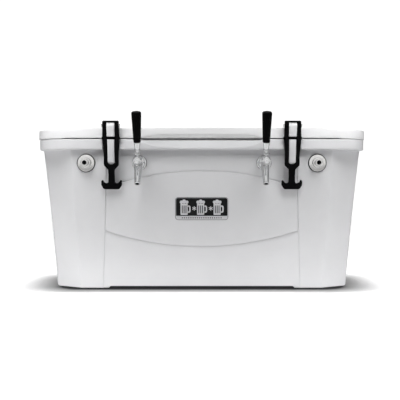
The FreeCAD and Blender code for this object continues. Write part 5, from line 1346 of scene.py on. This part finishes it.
@dataclass
class Latch:
    """A rubber latch: its strap with two windows and a T-handle, the tub's keeper and the
    lid's lug.

    Attributes:
        side: which end of the cooler it is on.
        pin: the middle of its pin, in front of the middle of the tub.
        tilt: how far the strap leans, in degrees.
        thick: thickness of the strap.
    """

    side: Side
    pin: Triple = (248.5, -240.0, 449.5)
    tilt: float = 10.1
    thick: float = 9.0

    def strap_frame(self) -> Placement:
        """The strap's own frame: up along the strap, along through its thickness."""
        place = FRAME.place(self.side.value * self.pin[0], self.pin[1], self.pin[2])
        return place.leaning(0.0, 0.0, self.tilt)

    @staticmethod
    def outline() -> Array:
        """The strap's outline from the front, symmetric about its middle."""
        right = [(22.4, 13.6, 3.2), (22.7, -20.0, 40.0), (23.1, -29.5, 3.0), (25.0, -31.6, 1.8),
                 (25.0, -36.0, 1.8), (23.0, -38.4, 3.0), (19.9, -84.0, 60.0), (20.6, -104.0, 4.0),
                 (19.8, -109.2, 3.0), (8.9, -120.2, 6.0), (8.3, -136.0, 30.0), (8.9, -157.6, 5.5),
                 (17.6, -159.0, 7.5), (24.3, -149.2, 1.6), (28.3, -151.6, 1.8), (28.5, -163.0, 9.0),
                 (21.4, -174.6, 7.5)]
        left = [(-x, v, r) for x, v, r in reversed(right)]
        return rounded(right + left, 7)

    @staticmethod
    def windows() -> list[Array]:
        """The two windows: the upper for the lid's lug, the lower for the keeper."""
        upper = rounded([(-11.3, 8.3, 2.0), (11.3, 8.3, 2.0), (11.6, -31.2, 1.6), (-11.6, -31.2, 1.6)], 4)
        lower = rounded([(-10.6, -36.9, 1.6), (10.6, -36.9, 1.6), (9.6, -86.0, 40.0), (9.6, -105.4, 7.0),
                         (-9.6, -105.4, 7.0), (-9.6, -86.0, 40.0)], 6)
        return [upper, lower]

    def strap(self) -> bpy.types.Object:
        """Make the strap: its outline with two windows, 9 thick with rounded rims, then bent.

        Below the windows its points move forward by 2.6 smooth(u), where u grows from the
        stem's top to the T-handle's lower edge.
        """
        skin = Skin()
        flat = Placement((0.0, 0.0, 0.0), (0.0, 1.0, 0.0), (1.0, 0.0, 0.0))
        prism(skin, self.outline(), flat, self.thick / 2, 1.5, self.windows())
        for points in skin.points:
            points[:, 1] -= 2.6 * smooth((-points[:, 2] - 118.0) / 52.0)
        strap = Skin()
        strap.adopt(skin, self.strap_frame().put)
        return strap.piece(f"latch_strap_{self.side.word}_rubber", sharp=38.0)

    def rolls(self) -> bpy.types.Object:
        """Make the two rolls of rubber round the pin, one on each leg of the strap."""
        skin = Skin()
        profile = open_line([(3.1, -5.6), (6.1, -5.6, 1.4), (6.1, 5.6, 1.4), (3.1, 5.6)], 4)
        ring = np.concatenate([profile, profile[:1]])
        for end in (-1, 1):
            centre = self.strap_frame().put(np.array([end * 17.2, 0.0, 0.0]))
            axis = Placement(tuple(centre), (0.0, 1.0, 0.0), (0.0, 0.0, 1.0), (1.0, 0.0, 0.0))
            skin.grid(lathe(ring, axis, 32), around=True)
        return skin.piece(f"latch_roll_{self.side.word}", sharp=50.0)

    def middle(self, z: float, proud: float) -> float:
        """How far out the strap's plane lies at a height, moved proud of it."""
        lean = math.radians(self.tilt)
        return self.pin[1] + (self.pin[2] - z) * math.tan(lean) - proud / math.cos(lean)

    def keeper(self) -> bpy.types.Object:
        """Make the tub's keeper, which fills the strap's lower window."""
        top, low, root, proud = 412.0, 349.5, -172.0, 6.0
        outline = rounded([(self.middle(low, proud), low, 2.2), (root, low + 3.5, 0.0),
                           (root, top, 0.0), (self.middle(top, proud), top, 2.2)], 4)
        skin = Skin()
        prism(skin, outline, FRAME.place(self.side.value * self.pin[0]), 9.3, 1.6)
        return skin.piece(f"tub_keeper_{self.side.word}", sharp=40.0)

    def lug(self) -> bpy.types.Object:
        """Make the lid's lug: a rib up the lid's face that ends round the pin, with a step
        behind it that leaves room for the strap's top edge."""
        _, y, z = self.pin
        angle = np.radians(np.linspace(200, -15, 16))
        nose = [(y + 7.5 * math.cos(a), z + 7.5 * math.sin(a), 0.0) for a in angle]
        outline = rounded([(-223.0, 420.4, 0.0), (self.middle(420.4, 4.4), 420.4, 1.6), *nose,
                           (-231.4, 444.8, 0.8), (-220.0, 444.8, 0.0)], 4)
        skin = Skin()
        prism(skin, outline, FRAME.place(self.side.value * self.pin[0]), 10.7, 1.6)
        return skin.piece(f"lid_lug_{self.side.word}", sharp=40.0)


@dataclass
class Tap:
    """A draught faucet on its shank: coupling nut, body with a lozenge boss and a leaning
    spout, bonnet, beaded lever, ferrule and black handle.

    Attributes:
        side: which end of the cooler it is on.
        out, height, seat: where its axis meets the wall's flat.
        pivot_ahead, pivot_rise, lean: the lever's pivot, and its lean in degrees.
        spout_ahead, spout_lean: the spout's root, and its lean in degrees.
    """

    side: Side
    out: float = 173.0
    height: float = 350.0
    seat: float = 201.749
    pivot_ahead: float = 58.0
    pivot_rise: float = 11.5
    lean: float = 20.0
    spout_ahead: float = 31.0
    spout_lean: float = 31.0

    @property
    def wall(self) -> Placement:
        """The frame on the wall's flat, tap towards -along."""
        return FRAME.place(self.side.value * self.out, -self.seat, self.height)

    @property
    def lever(self) -> Placement:
        """The frame on the lever's pivot, up along the lever."""
        return self.wall.leaning(self.pivot_ahead, self.pivot_rise, self.lean)

    @property
    def spout(self) -> Placement:
        """The frame on the spout's root, up away from its mouth."""
        return self.wall.leaning(self.spout_ahead, 0.0, -self.spout_lean)

    def coupling(self) -> bpy.types.Object:
        """Make the coupling nut: a drum with rounded rims and six spanner notches.

        Near a notch the drum's radius falls from 15.6 to 13.8: the cut is
        1.8 smooth((2.7 - d) / 0.7), where d is the distance round the drum from the
        notch's middle line, and it fades out towards the back rim.
        """
        profile = open_line([(0, 8.6), (14.4, 8.6), (15.6, 9.8, 1.0), (15.6, 24.6, 1.0), (14.2, 26.0, 1.0),
                             (12.6, 26.4), (11.1, 26.4), (11.1, 24.0), (0, 24.0)], 4)
        side = np.stack([np.full(8, 15.6), np.linspace(11.0, 24.0, 8)], 1)
        profile = np.concatenate([profile[profile[:, 1] <= 10.6], side,
                                  profile[(profile[:, 1] > 24.0) & (profile[:, 0] > 11.0)],
                                  [(11.1, 24.0), (0, 24.0)]])
        angle = np.linspace(0, 2 * math.pi, 96, endpoint=False)
        near = np.abs((angle + math.pi / 6) % (math.pi / 3) - math.pi / 6) * 15.6
        cut = 1.8 * smooth((2.7 - near) / 0.7)[None] * smooth((profile[:, 1] - 13.0) / 1.4)[:, None]
        radius = np.where(profile[:, :1] > 13.6, profile[:, :1] - cut, profile[:, :1])
        skin = Skin()
        skin.grid(drum(radius, profile[:, 1], self.wall), around=True)
        return skin.piece(f"coupling_drum_{self.side.word}", sharp=38.0)

    def body(self) -> bpy.types.Object:
        """Make the faucet's body: tube, collar, lozenge boss with its button, and spout."""
        skin = Skin()
        tube = open_line([(0, 24.0), (11.0, 24.0), (11.0, 66.0, 6.0), (9.2, 79.0, 3.0), (8.8, 81.0),
                          (0, 81.0)], 5)
        skin.grid(lathe(tube, self.wall, 48, Axis.AHEAD), around=True)
        collar = open_line([(0, -11.0), (9.9, -11.0), (9.9, -4.0, 2.0), (10.5, -2.4, 1.0), (10.5, -1.4),
                            (0, -1.4)], 4)
        skin.grid(lathe(collar, self.lever, 48), around=True)
        spout = open_line([
            (0, -1.0), (10.6, -1.0), (11.2, -12.0, 6.0), (10.6, -22.0, 12.0), (8.2, -58.0, 20.0),
            (7.9, -66.4, 0.8), (8.3, -67.0, 0.5), (8.3, -69.4, 0.6), (7.6, -70.0, 0.3), (5.4, -70.0, 0.4),
            (5.2, -66.0), (5.2, -40.0), (0, -40.0)], 4)
        skin.grid(lathe(spout, self.spout, 48), around=True)
        boss = Placement(tuple(self.wall.put(np.array([0.0, -80.4, 0.0]))),
                         (0.0, 1.0, 0.0), (1.0, 0.0, 0.0), (0.0, 0.0, 1.0))
        lozenge = rounded([(0, -13.5, 3.0), (13.5, 0, 3.0), (0, 13.5, 3.0), (-13.5, 0, 3.0)], 6)
        prism(skin, lozenge, boss, 2.4, 1.0)
        button = open_line([(0, 82.0), (7.0, 82.0), (7.0, 84.2, 0.8), (5.6, 85.0, 0.4), (4.6, 84.3, 0.4),
                            (0, 84.3)], 4)
        skin.grid(lathe(button, self.wall, 40, Axis.AHEAD), around=True)
        return skin.piece(f"faucet_casting_{self.side.word}", sharp=42.0)

    def bore(self) -> bpy.types.Object:
        """Make a black piece inside the spout's mouth: painted shade in the bore."""
        profile = np.array([(0, -69.0), (5.0, -69.0), (5.0, -60.0), (0, -60.0)], float)
        return turned(f"spout_shade_{self.side.word}", profile, self.spout, 32, Axis.UP, 32.0)

    def on_lever(self, name: str, profile: Sequence[tuple], turns: int = 48) -> bpy.types.Object:
        """Make a piece turned about the lever's axis."""
        return turned(f"{name}_{self.side.word}", open_line(profile, 5), self.lever, turns, Axis.UP)

    def bonnet(self) -> bpy.types.Object:
        """Make the screwed bonnet round the lever's ball."""
        return self.on_lever("bonnet_ring", [
            (0, -1.4), (10.5, -1.4, 0.4), (10.5, 1.4, 0.8), (9.3, 2.4, 0.6), (6.0, 2.4, 0.3), (6.0, 0.6),
            (0, 0.6)])

    def stick(self) -> bpy.types.Object:
        """Make the lever: its ball, neck and two rings of beads."""
        ball = [(5.75 * math.cos(a), 5.75 * math.sin(a)) for a in np.linspace(-0.25, 1.0, 8)]
        return self.on_lever("lever_stick", [
            (0, -1.5), *ball, (3.1, 6.6, 1.0), (3.1, 9.2, 0.4), (7.6, 9.4, 0.8), (9.6, 11.0, 0.8),
            (9.6, 12.4, 0.8), (7.6, 13.8, 0.6), (5.0, 14.6, 0.8), (4.8, 17.4, 3.0), (5.0, 20.4, 0.8),
            (6.6, 21.0, 0.6), (8.0, 22.0, 0.7), (8.0, 23.3, 0.7), (7.0, 24.5, 0.4), (5.4, 24.6), (0, 24.6)])

    def ferrule(self) -> bpy.types.Object:
        """Make the flared ferrule under the handle."""
        return self.on_lever("handle_ferrule", [
            (0, 24.6), (6.9, 24.6, 0.4), (7.0, 26.4, 2.0), (9.0, 39.6, 3.0), (9.2, 43.0, 0.5), (0, 43.1)])

    def handle(self) -> bpy.types.Object:
        """Make the tapered handle with its rounded crown."""
        return self.on_lever("handle_grip", [
            (0, 43.15), (9.5, 43.15, 0.6), (10.0, 46.0, 3.0), (12.9, 110.0, 60.0), (13.25, 121.5, 3.0),
            (12.6, 126.0, 3.2), (0, 126.0)], 56)


@dataclass
class Inlet:
    """A beer inlet: dark gasket ring, flange, step and a stub with an open bore.

    Attributes:
        side: which end of the cooler it is on.
        out, height, seat: where its axis meets the wall's flat.
    """

    side: Side
    out: float = 320.6
    height: float = 349.5
    seat: float = 203.278

    @property
    def wall(self) -> Placement:
        """The frame on the wall's flat."""
        return FRAME.place(self.side.value * self.out, -self.seat, self.height)

    def gasket(self) -> bpy.types.Object:
        """Make the rubber gasket, whose rim stands round the flange as a thin dark line."""
        profile = open_line([(0, 0.2), (25.4, 0.2), (25.4, 3.4, 0.7), (24.0, 3.4, 0.4), (24.0, 1.6),
                             (0, 1.6)], 3)
        return turned(f"inlet_ring_{self.side.word}", profile, self.wall, 72, sharp=40.0)

    def fitting(self) -> bpy.types.Object:
        """Make the stepped fitting with its bore."""
        profile = open_line([(0, 1.6), (23.7, 1.6), (23.7, 6.5, 1.6), (15.2, 6.7, 0.8), (14.2, 7.6, 0.6),
                             (14.2, 17.0, 1.6), (10.6, 17.2, 0.9), (9.6, 18.2, 0.5), (9.6, 34.0, 1.4),
                             (6.2, 34.0, 0.5), (5.5, 32.5, 0.5), (5.5, 10.0), (0, 10.0)], 4)
        return turned(f"inlet_spigot_{self.side.word}", profile, self.wall, 64)

    def bore(self) -> bpy.types.Object:
        """Make a black piece inside the stub: painted shade in the bore."""
        profile = np.array([(0, 10.2), (5.45, 10.2), (5.45, 24.0), (5.1, 24.0), (5.1, 11.0), (0, 11.0)])
        return turned(f"inlet_shade_{self.side.word}", profile, self.wall, 40)


@dataclass
class Badge:
    """The front badge: a black plate with a light border and a generic drawing of three
    mugs and two snow crystals, over a strip with a row of dark drops.

    Attributes:
        half: half width and half height of the plate.
        corner: radius of its corners.
        middle: height of its middle.
        wall: how far the front stands out at the floor, and the wall's slope.
        mugs: where the mugs stand.
        crystals: where the snow crystals stand.
    """

    half: Pair = (73.5, 31.75)
    corner: float = 8.0
    middle: float = 223.0
    wall: Pair = (182.0, 26.0 / 386.2)
    mugs: Triple = (-46.0, 0.0, 46.0)
    crystals: Pair = (-20.8, 25.2)

    @property
    def face(self) -> Placement:
        """The frame on the pad's face: across, up its slope, and out of it."""
        start, slope = self.wall
        tip = math.atan(slope)
        y = -(start + slope * self.middle)
        return Placement((0.0, y + FRAME.shift, self.middle), (1.0, 0.0, 0.0),
                         (0.0, -math.sin(tip), math.cos(tip)), (0.0, -math.cos(tip), -math.sin(tip)))

    def slab(self, skin: Skin, outline: Array, low: float, high: float, bevel: float) -> None:
        """Add an outline n x 2 on the face as a slab between two levels above it."""
        place = self.face
        middle = tuple(place.put(np.array([0.0, 0.0, (low + high) / 2])))
        laid = Placement(middle, place.up, place.across, place.along)
        prism(skin, outline, laid, (high - low) / 2, bevel)

    @staticmethod
    def box(low: Pair, high: Pair, corners: Pair, steps: int = 8) -> Array:
        """The outline of a rounded box.

        Args:
            low: its lower left corner.
            high: its upper right corner.
            corners: radius of its lower and of its upper corners.
            steps: pieces in each arc.

        Returns:
            Points n x 2.
        """
        below, above = corners
        return rounded([(low[0], low[1], below), (high[0], low[1], below),
                        (high[0], high[1], above), (low[0], high[1], above)], steps)

    def plate(self) -> bpy.types.Object:
        """Make the black plate."""
        skin = Skin()
        (a, b), c = self.half, self.corner
        self.slab(skin, self.box((-a, -b), (a, b), (c, c)), -0.9, 0.7, 0.4)
        return skin.piece("badge_plate", sharp=40.0)

    def ring(self, skin: Skin, outer: Array, inner: Array, low: float, high: float) -> None:
        """Add a flat frame between two outlines with equally many points."""
        rows = [raised(outer, low), raised(outer, high), raised(inner, high), raised(inner, low),
                raised(outer, low)]
        skin.grid(self.face.put(np.stack(rows)), around=True)

    def border(self) -> bpy.types.Object:
        """Make the light border and the strip along the lower edge."""
        skin = Skin()
        (a, b), c = self.half, self.corner
        outer = self.box((1.0 - a, 1.0 - b), (a - 1.0, b - 1.0), (c - 1, c - 1))
        inner = self.box((2.0 - a, 11.5 - b), (a - 2.0, b - 2.0), (2.5, c - 2))
        self.ring(skin, outer, inner, 0.5, 0.95)
        return skin.piece("badge_border", sharp=40.0)

    def mug(self, x: float) -> list[Array]:
        """Outlines of a mug: body, handle above and below, and three lobes of foam."""
        body = self.box((x - 11.5, -17.5), (x + 8.5, 14.0), (2.4, 1.2), 4)
        grip = rounded([(x + 9.2, -11.5, 0.5), (x + 16.6, -11.5, 5.0), (x + 16.6, 9.0, 5.0),
                        (x + 9.2, 9.0, 0.5), (x + 9.2, 5.2, 0.3), (x + 12.8, 5.2, 2.4),
                        (x + 12.8, -7.7, 2.4), (x + 9.2, -7.7, 0.3)], 4)
        angle = np.linspace(0, 2 * math.pi, 24, endpoint=False)
        foam = [np.stack([x + dx + r * np.cos(angle), 18.0 + dy + r * np.sin(angle)], 1)
                for dx, dy, r in ((-9.0, 0.2, 4.4), (-1.5, 1.8, 5.6), (6.4, 0.3, 4.3))]
        return [body, grip, *foam]

    @staticmethod
    def crystal(x: float, z: float, size: float) -> list[Array]:
        """Outlines of a snow crystal: three bars through its middle, 60 degrees apart."""
        bars = []
        for turn in range(3):
            angle = turn * math.pi / 3 + math.pi / 6
            way = np.array([math.cos(angle), math.sin(angle)])
            side, way = np.array([-way[1], way[0]]) * 1.1, way * size
            bars.append(np.array([way + side, side - way, -way - side, way - side]) + (x, z))
        return bars

    def drawing(self) -> bpy.types.Object:
        """Make the raised light drawing: the mugs and the snow crystals."""
        skin = Skin()
        for x in self.mugs:
            for number, outline in enumerate(self.mug(x - 1.5)):
                self.slab(skin, outline, 0.5, 0.98 + 0.02 * number, 0.15)
        for x in self.crystals:
            for number, outline in enumerate(self.crystal(x, 0.5, 6.2)):
                self.slab(skin, outline, 0.5, 0.96 + 0.02 * number, 0.12)
        return skin.piece("badge_drawing", sharp=40.0)

    def marks(self) -> bpy.types.Object:
        """Make the dark marks: bars on the mugs and a row of drops on the strip."""
        skin = Skin()
        for x in self.mugs:
            for bar in (x - 8.2, x - 3.0, x + 2.2):
                outline = self.box((bar - 1.2, -13.0), (bar + 1.2, 9.0), (1.0, 1.0), 3)
                self.slab(skin, outline, 0.6, 1.12, 0.1)
        angle = np.linspace(0, 2 * math.pi, 12, endpoint=False)
        for x in np.linspace(-54, 54, 19):
            drop = np.stack([x + 1.5 * np.cos(angle), -25.6 + 1.9 * np.sin(angle)], 1)
            self.slab(skin, drop, 0.6, 1.06, 0.1)
        return skin.piece("badge_marks", sharp=40.0)


@dataclass
class Drain:
    """The drain's flange and its ribbed screw cap on the right end.

    Attributes:
        seat, height: where its axis meets the recess's floor.
    """

    seat: float = 403.457
    height: float = 90.0

    @property
    def wall(self) -> Placement:
        """The frame on the recess's floor, with the drain towards -along."""
        return Placement((self.seat, FRAME.shift, self.height),
                         (0.0, 1.0, 0.0), (-1.0, 0.0, 0.0), (0.0, 0.0, 1.0))

    def flange(self) -> bpy.types.Object:
        """Make the flange and the threaded spout under the cap.

        The thread's radius at height h is 12.4 + 0.5 cos(2 pi h / 2.4).
        """
        height = np.linspace(4.0, 13.4, 40)
        thread = np.stack([12.4 + 0.5 * np.cos(height * 2 * math.pi / 2.4), height], 1)
        flange = open_line([(0, 0.05), (21.0, 0.05), (21.0, 3.0, 0.9), (12.9, 3.0)], 4)
        mouth = [(12.4, 14.0), (8.4, 14.0), (8.0, 13.4), (8.0, 4.0), (0, 4.0)]
        return turned("drain_flange", np.concatenate([flange, thread, mouth]), self.wall, 56, sharp=40.0)

    def cap(self) -> bpy.types.Object:
        """Make the cap: a drum whose radius is 17.5 + 1.0 on each of ten rounded ribs.

        The rib's share at angle a is smooth((cos 10a - 0.1) / 0.5), and it fades over the
        crown.
        """
        profile = open_line([(0, 15.7), (13.1, 15.7), (13.1, 3.6), (17.3, 3.6, 0.5), (17.5, 5.0),
                             (17.5, 10.0), (17.5, 15.0), (17.5, 18.7, 2.0), (12.0, 18.7, 0.6),
                             (11.0, 18.1, 0.6), (0, 18.1)], 5)
        angle = np.linspace(0, 2 * math.pi, 120, endpoint=False)
        outer = smooth((profile[:, 0] - 15.6) / 1.6) * (profile[:, 1] > 3.7)
        rib = smooth((np.cos(10 * angle) - 0.1) / 0.5)[None] * outer[:, None]
        skin = Skin()
        skin.grid(drum(profile[:, :1] + 1.0 * rib, profile[:, 1], self.wall), around=True)
        return skin.piece("drain_cap_ribbed", sharp=36.0)


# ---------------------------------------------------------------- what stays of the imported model

def dress_nodes(taken: set[str]) -> None:
    """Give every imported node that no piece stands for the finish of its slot.

    Args:
        taken: the nodes that pieces stand for.
    """
    slots = {part["node"]: part["material_slot"] for part in frame["record"]["subparts"]}
    for name, node in frame["nodes"].items():
        if name in taken or name not in slots:
            continue
        material = FINISHES[slots[name]].material()
        if not node.material_slots:
            node.data.materials.append(material)
        for slot in node.material_slots:
            slot.material = material


# ---------------------------------------------------------------- studio

@dataclass(frozen=True)
class SoftBox:
    """A rectangular soft light.

    Attributes:
        name: its name.
        place: where it stands, in metres.
        aim: what it faces, in metres.
        size: its width and height, in metres.
        power: watts.
    """

    name: str
    place: Triple
    aim: Triple
    size: Pair
    power: float

    def build(self) -> bpy.types.Object:
        """Make the light, which neither the camera nor a reflection shows."""
        data = bpy.data.lights.new(self.name, "AREA")
        data.shape = "RECTANGLE"
        data.size, data.size_y = self.size
        data.energy = self.power
        made = bpy.data.objects.new(self.name, data)
        made.location = self.place
        made.rotation_euler = (Vector(self.aim) - Vector(self.place)).to_track_quat("-Z", "Y").to_euler()
        made.visible_camera = made.visible_glossy = False
        bpy.context.scene.collection.objects.link(made)
        return made


SOFT_BOXES = (
    SoftBox("over_left", (-0.42, -0.45, 0.75), (-0.42, -0.2, 0.35), (0.5, 0.35), 2.8),
    SoftBox("over_right", (0.42, -0.45, 0.75), (0.42, -0.2, 0.35), (0.5, 0.35), 2.8),
    SoftBox("high_front", (0.0, -1.5, 1.5), (0.0, -0.2, 0.25), (2.4, 1.0), 1.6),
    SoftBox("high_back", (0.0, 1.2, 1.3), (0.0, 0.0, 0.3), (2.4, 0.8), 11.0),
    SoftBox("low_front", (0.0, -0.285, 0.009), (0.0, 0.0, 0.01), (0.9, 0.018), 0.2),
    SoftBox("low_left", (-0.80, -0.45, 0.02), (-0.40, -0.15, 0.02), (0.2, 0.04), 1.4),
    SoftBox("low_right", (0.80, -0.45, 0.02), (0.40, -0.15, 0.02), (0.2, 0.04), 1.2),
)


@dataclass
class Studio:
    """The pale floor, the white backdrop, the soft boxes and the camera.

    Attributes:
        middle: the camera's distance from the tub's middle, along Y.
        eye: the camera's height.
        lens: its focal length.
        aside: its sideways shift.
        ambient: brightness of the even light.
        floor_reach: half the floor's width, in metres.
        shade_box: half sizes of the box that the floor's painted shade goes round, in metres.
        shade_margin: how far the full painted shade reaches beyond that box, in metres.
        shade_fall: distance over which the painted shade falls to a third, in metres.
        glow: distances where the floor's own glow starts and is full, in metres.
        paper: the floor's colour.
        shade: the colour of the painted shadow, which the floor takes at the cooler's foot.
    """

    middle: float = -2228.5
    eye: float = 247.0
    lens: float = 65.67
    aside: float = -0.00425
    ambient: float = 0.05
    floor_reach: float = 9.0
    shade_box: Pair = (0.325, 0.10)
    shade_margin: float = 0.075
    shade_fall: float = 0.04
    glow: Pair = (0.035, 0.2)
    paper: Triple = (0.93, 0.93, 0.93)
    shade: Triple = (0.05, 0.05, 0.052)

    def floor(self) -> bpy.types.Object:
        """Make the floor.

        The camera sees a painted shadow close to the cooler, over the real one: with d the
        distance from the shade's box less its margin, and not under 0, the paper's colour turns
        to the painted shade by exp(-d / fall), and far away it glows. Polished metal sees an
        even glow.
        """
        reach = self.floor_reach
        mesh = bpy.data.meshes.new("studio_floor")
        mesh.from_pydata([(-reach, -reach, 0.0), (reach, -reach, 0.0), (reach, reach, 0.0),
                          (-reach, reach, 0.0)], [], [(0, 1, 2, 3)])
        mesh.materials.append(self.floor_finish())
        made = bpy.data.objects.new("studio_floor", mesh)
        bpy.context.scene.collection.objects.link(made)
        return made

    def floor_finish(self) -> bpy.types.Material:
        """The floor's material."""
        finish = bpy.data.materials.new("studio_paper")
        finish.use_nodes = True
        shader = finish.node_tree.nodes["Principled BSDF"]
        shader.inputs["Roughness"].default_value = 0.9
        shader.inputs["Specular IOR Level"].default_value = 0.0
        shader.inputs["Emission Color"].default_value = (1.0, 1.0, 1.0, 1.0)
        n = Nodes(finish.node_tree)
        split = n.add("ShaderNodeSeparateXYZ")
        n.join(n.add("ShaderNodeTexCoord").outputs["Object"], split.inputs[0])
        squares = []
        for axis, half in zip("XY", self.shade_box):
            beyond = n.math("SUBTRACT", n.math("ABSOLUTE", split.outputs[axis]), half)
            squares.append(n.math("POWER", n.math("MAXIMUM", beyond, 0.0), 2.0))
        reached = n.math("SQRT", n.math("ADD", *squares))
        away = n.math("MAXIMUM", n.math("SUBTRACT", reached, self.shade_margin), 0.0)
        path = n.add("ShaderNodeLightPath")
        seen, shine = path.outputs["Is Camera Ray"], path.outputs["Is Glossy Ray"]
        glow = n.math("MULTIPLY", n.ramp(away, *self.glow), seen)
        n.join(n.math("ADD", glow, n.math("MULTIPLY", shine, 0.4)), shader.inputs["Emission Strength"])
        # painted shadow: for camera rays the paper's colour darkens towards the cooler's foot
        fall = n.math("EXPONENT", n.math("MULTIPLY", away, -1 / self.shade_fall))
        paper = n.add("ShaderNodeMix", data_type="RGBA")
        n.join(n.math("MULTIPLY", fall, seen), paper.inputs["Factor"])
        paper.inputs[6].default_value = (*self.paper, 1.0)
        paper.inputs[7].default_value = (*self.shade, 1.0)
        n.join(paper.outputs[2], shader.inputs["Base Color"])
        return finish

    def world(self) -> None:
        """Light the scene evenly, and show pure white to the camera.

        Polished metal sees grey sides, a brighter front and a brighter top:
        0.1 + 0.95 smooth(-y) + 0.5 smooth(z).
        """
        world = bpy.data.worlds.new("studio_white")
        bpy.context.scene.world = world
        world.use_nodes = True
        n = Nodes(world.node_tree)
        back = world.node_tree.nodes["Background"]
        path = n.add("ShaderNodeLightPath")
        seen = n.math("MAXIMUM", path.outputs["Is Camera Ray"], path.outputs["Is Transmission Ray"])
        split = n.add("ShaderNodeSeparateXYZ")
        n.join(n.add("ShaderNodeTexCoord").outputs["Generated"], split.inputs[0])
        front = n.ramp(n.math("MULTIPLY", split.outputs["Y"], -1.0), 0.1, 0.95)
        sky = n.math("ADD", n.math("MULTIPLY", n.ramp(split.outputs["Z"], 0.05, 0.9), 0.5),
                     n.math("ADD", n.math("MULTIPLY", front, 0.95), 0.1))
        back.inputs["Color"].default_value = (1.0, 1.0, 1.0, 1.0)
        plain = n.math("ADD", n.math("MULTIPLY", seen, 1.1 - self.ambient), self.ambient)
        extra = n.math("MULTIPLY", path.outputs["Is Glossy Ray"], n.math("SUBTRACT", sky, self.ambient))
        n.join(n.math("ADD", extra, plain), back.inputs["Strength"])

    def camera(self) -> bpy.types.Object:
        """Make the level camera that looks along +Y."""
        data = bpy.data.cameras.new("studio_camera")
        data.sensor_width = 36.0
        data.lens = self.lens
        data.shift_x = self.aside
        data.clip_end = 60.0
        made = bpy.data.objects.new("studio_camera", data)
        made.location = (0.0, (self.middle + FRAME.shift) * MM, self.eye * MM)
        made.rotation_euler = (math.pi / 2, 0.0, 0.0)
        bpy.context.scene.collection.objects.link(made)
        bpy.context.scene.camera = made
        return made

    def build(self) -> list[bpy.types.Object]:
        """Set everything up.

        Returns:
            The objects that belong to the studio.
        """
        bpy.context.scene.view_settings.view_transform = "Standard"
        self.world()
        return [self.floor(), self.camera(), *(box.build() for box in SOFT_BOXES)]


# ---------------------------------------------------------------- all together

def dress_shells() -> set[str]:
    """Build the tub and the lid with everything moulded on them.

    Returns:
        The nodes that they stand for.
    """
    hinges = Hinges()
    dress(Tub().build(), "tub_shell", "cooler", ["tub"])
    dress(hinges.build("tub", (-2, 0, 2), False), "tub_shell", "cooler", ["tub"])
    dress(Lid().build(), "lid_shell", "lid", ["lid"])
    dress(hinges.build("lid", (-1, 1), True), "lid_shell", "lid", ["lid"])
    for side in Side:
        latch = Latch(side)
        dress(latch.keeper(), "tub_shell", "cooler", ["tub"])
        dress(latch.lug(), "lid_shell", "lid", ["lid"])
    return {"tub", "lid"}


def dress_latches() -> set[str]:
    """Build both rubber straps.

    Returns:
        The nodes that they stand for.
    """
    taken = set()
    for side in Side:
        latch, node = Latch(side), f"latch_strap_{side.word}"
        dress(latch.strap(), "latch_rubber", f"strap_{side.word}", [node])
        dress(latch.rolls(), "latch_rubber", f"strap_{side.word}", [node])
        taken.add(node)
    return taken


def dress_taps() -> set[str]:
    """Build both faucets with their levers and handles, and both inlets.

    Returns:
        The nodes that they stand for.
    """
    taken = set()
    for side in Side:
        tap, inlet, word = Tap(side), Inlet(side), side.word
        lever = f"lever_{word}"
        for made, slot, body, node in (
                (tap.coupling(), "chrome", "cooler", "coupling_nut"),
                (tap.body(), "chrome", "cooler", "faucet_body"),
                (tap.bore(), "chrome", "cooler", "faucet_body"),
                (tap.bonnet(), "chrome", "cooler", "bonnet"),
                (tap.stick(), "chrome", lever, "faucet_lever"),
                (tap.ferrule(), "chrome", lever, "tap_ferrule"),
                (tap.handle(), "handle_black", lever, "tap_handle"),
                (inlet.gasket(), "seal_rubber", "cooler", "inlet_gasket"),
                (inlet.fitting(), "stainless", "cooler", "inlet_fitting"),
                (inlet.bore(), "stainless", "cooler", "inlet_fitting")):
            # pieces named _shade_ take the black seal_rubber finish: painted shade inside the spouts' and
            # the inlets' bores
            dress(made, slot, body, [f"{node}_{word}"], "seal_rubber" if "_shade_" in made.name else None)
            taken.add(f"{node}_{word}")
    return taken


def dress_details() -> set[str]:
    """Build the badge and the drain.

    Returns:
        The nodes that they stand for.
    """
    badge, drain = Badge(), Drain()
    dress(badge.plate(), "badge_print", "cooler", ["badge"])
    dress(badge.border(), "badge_print", "cooler", ["badge"], "badge_silver")
    dress(badge.drawing(), "badge_print", "cooler", ["badge"], "badge_silver")
    dress(badge.marks(), "badge_print", "cooler", ["badge"])
    dress(drain.flange(), "drain_plastic", "cooler", ["drain_fitting"])
    dress(drain.cap(), "drain_plastic", "cap", ["drain_cap"])
    return {"badge", "drain_fitting", "drain_cap"}


def main() -> None:
    """Dress the cooler and set up the studio."""
    taken = dress_shells() | dress_latches() | dress_taps() | dress_details()
    dress_nodes(taken)
    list(Studio().build())


if __name__ == "__main__":
    main()
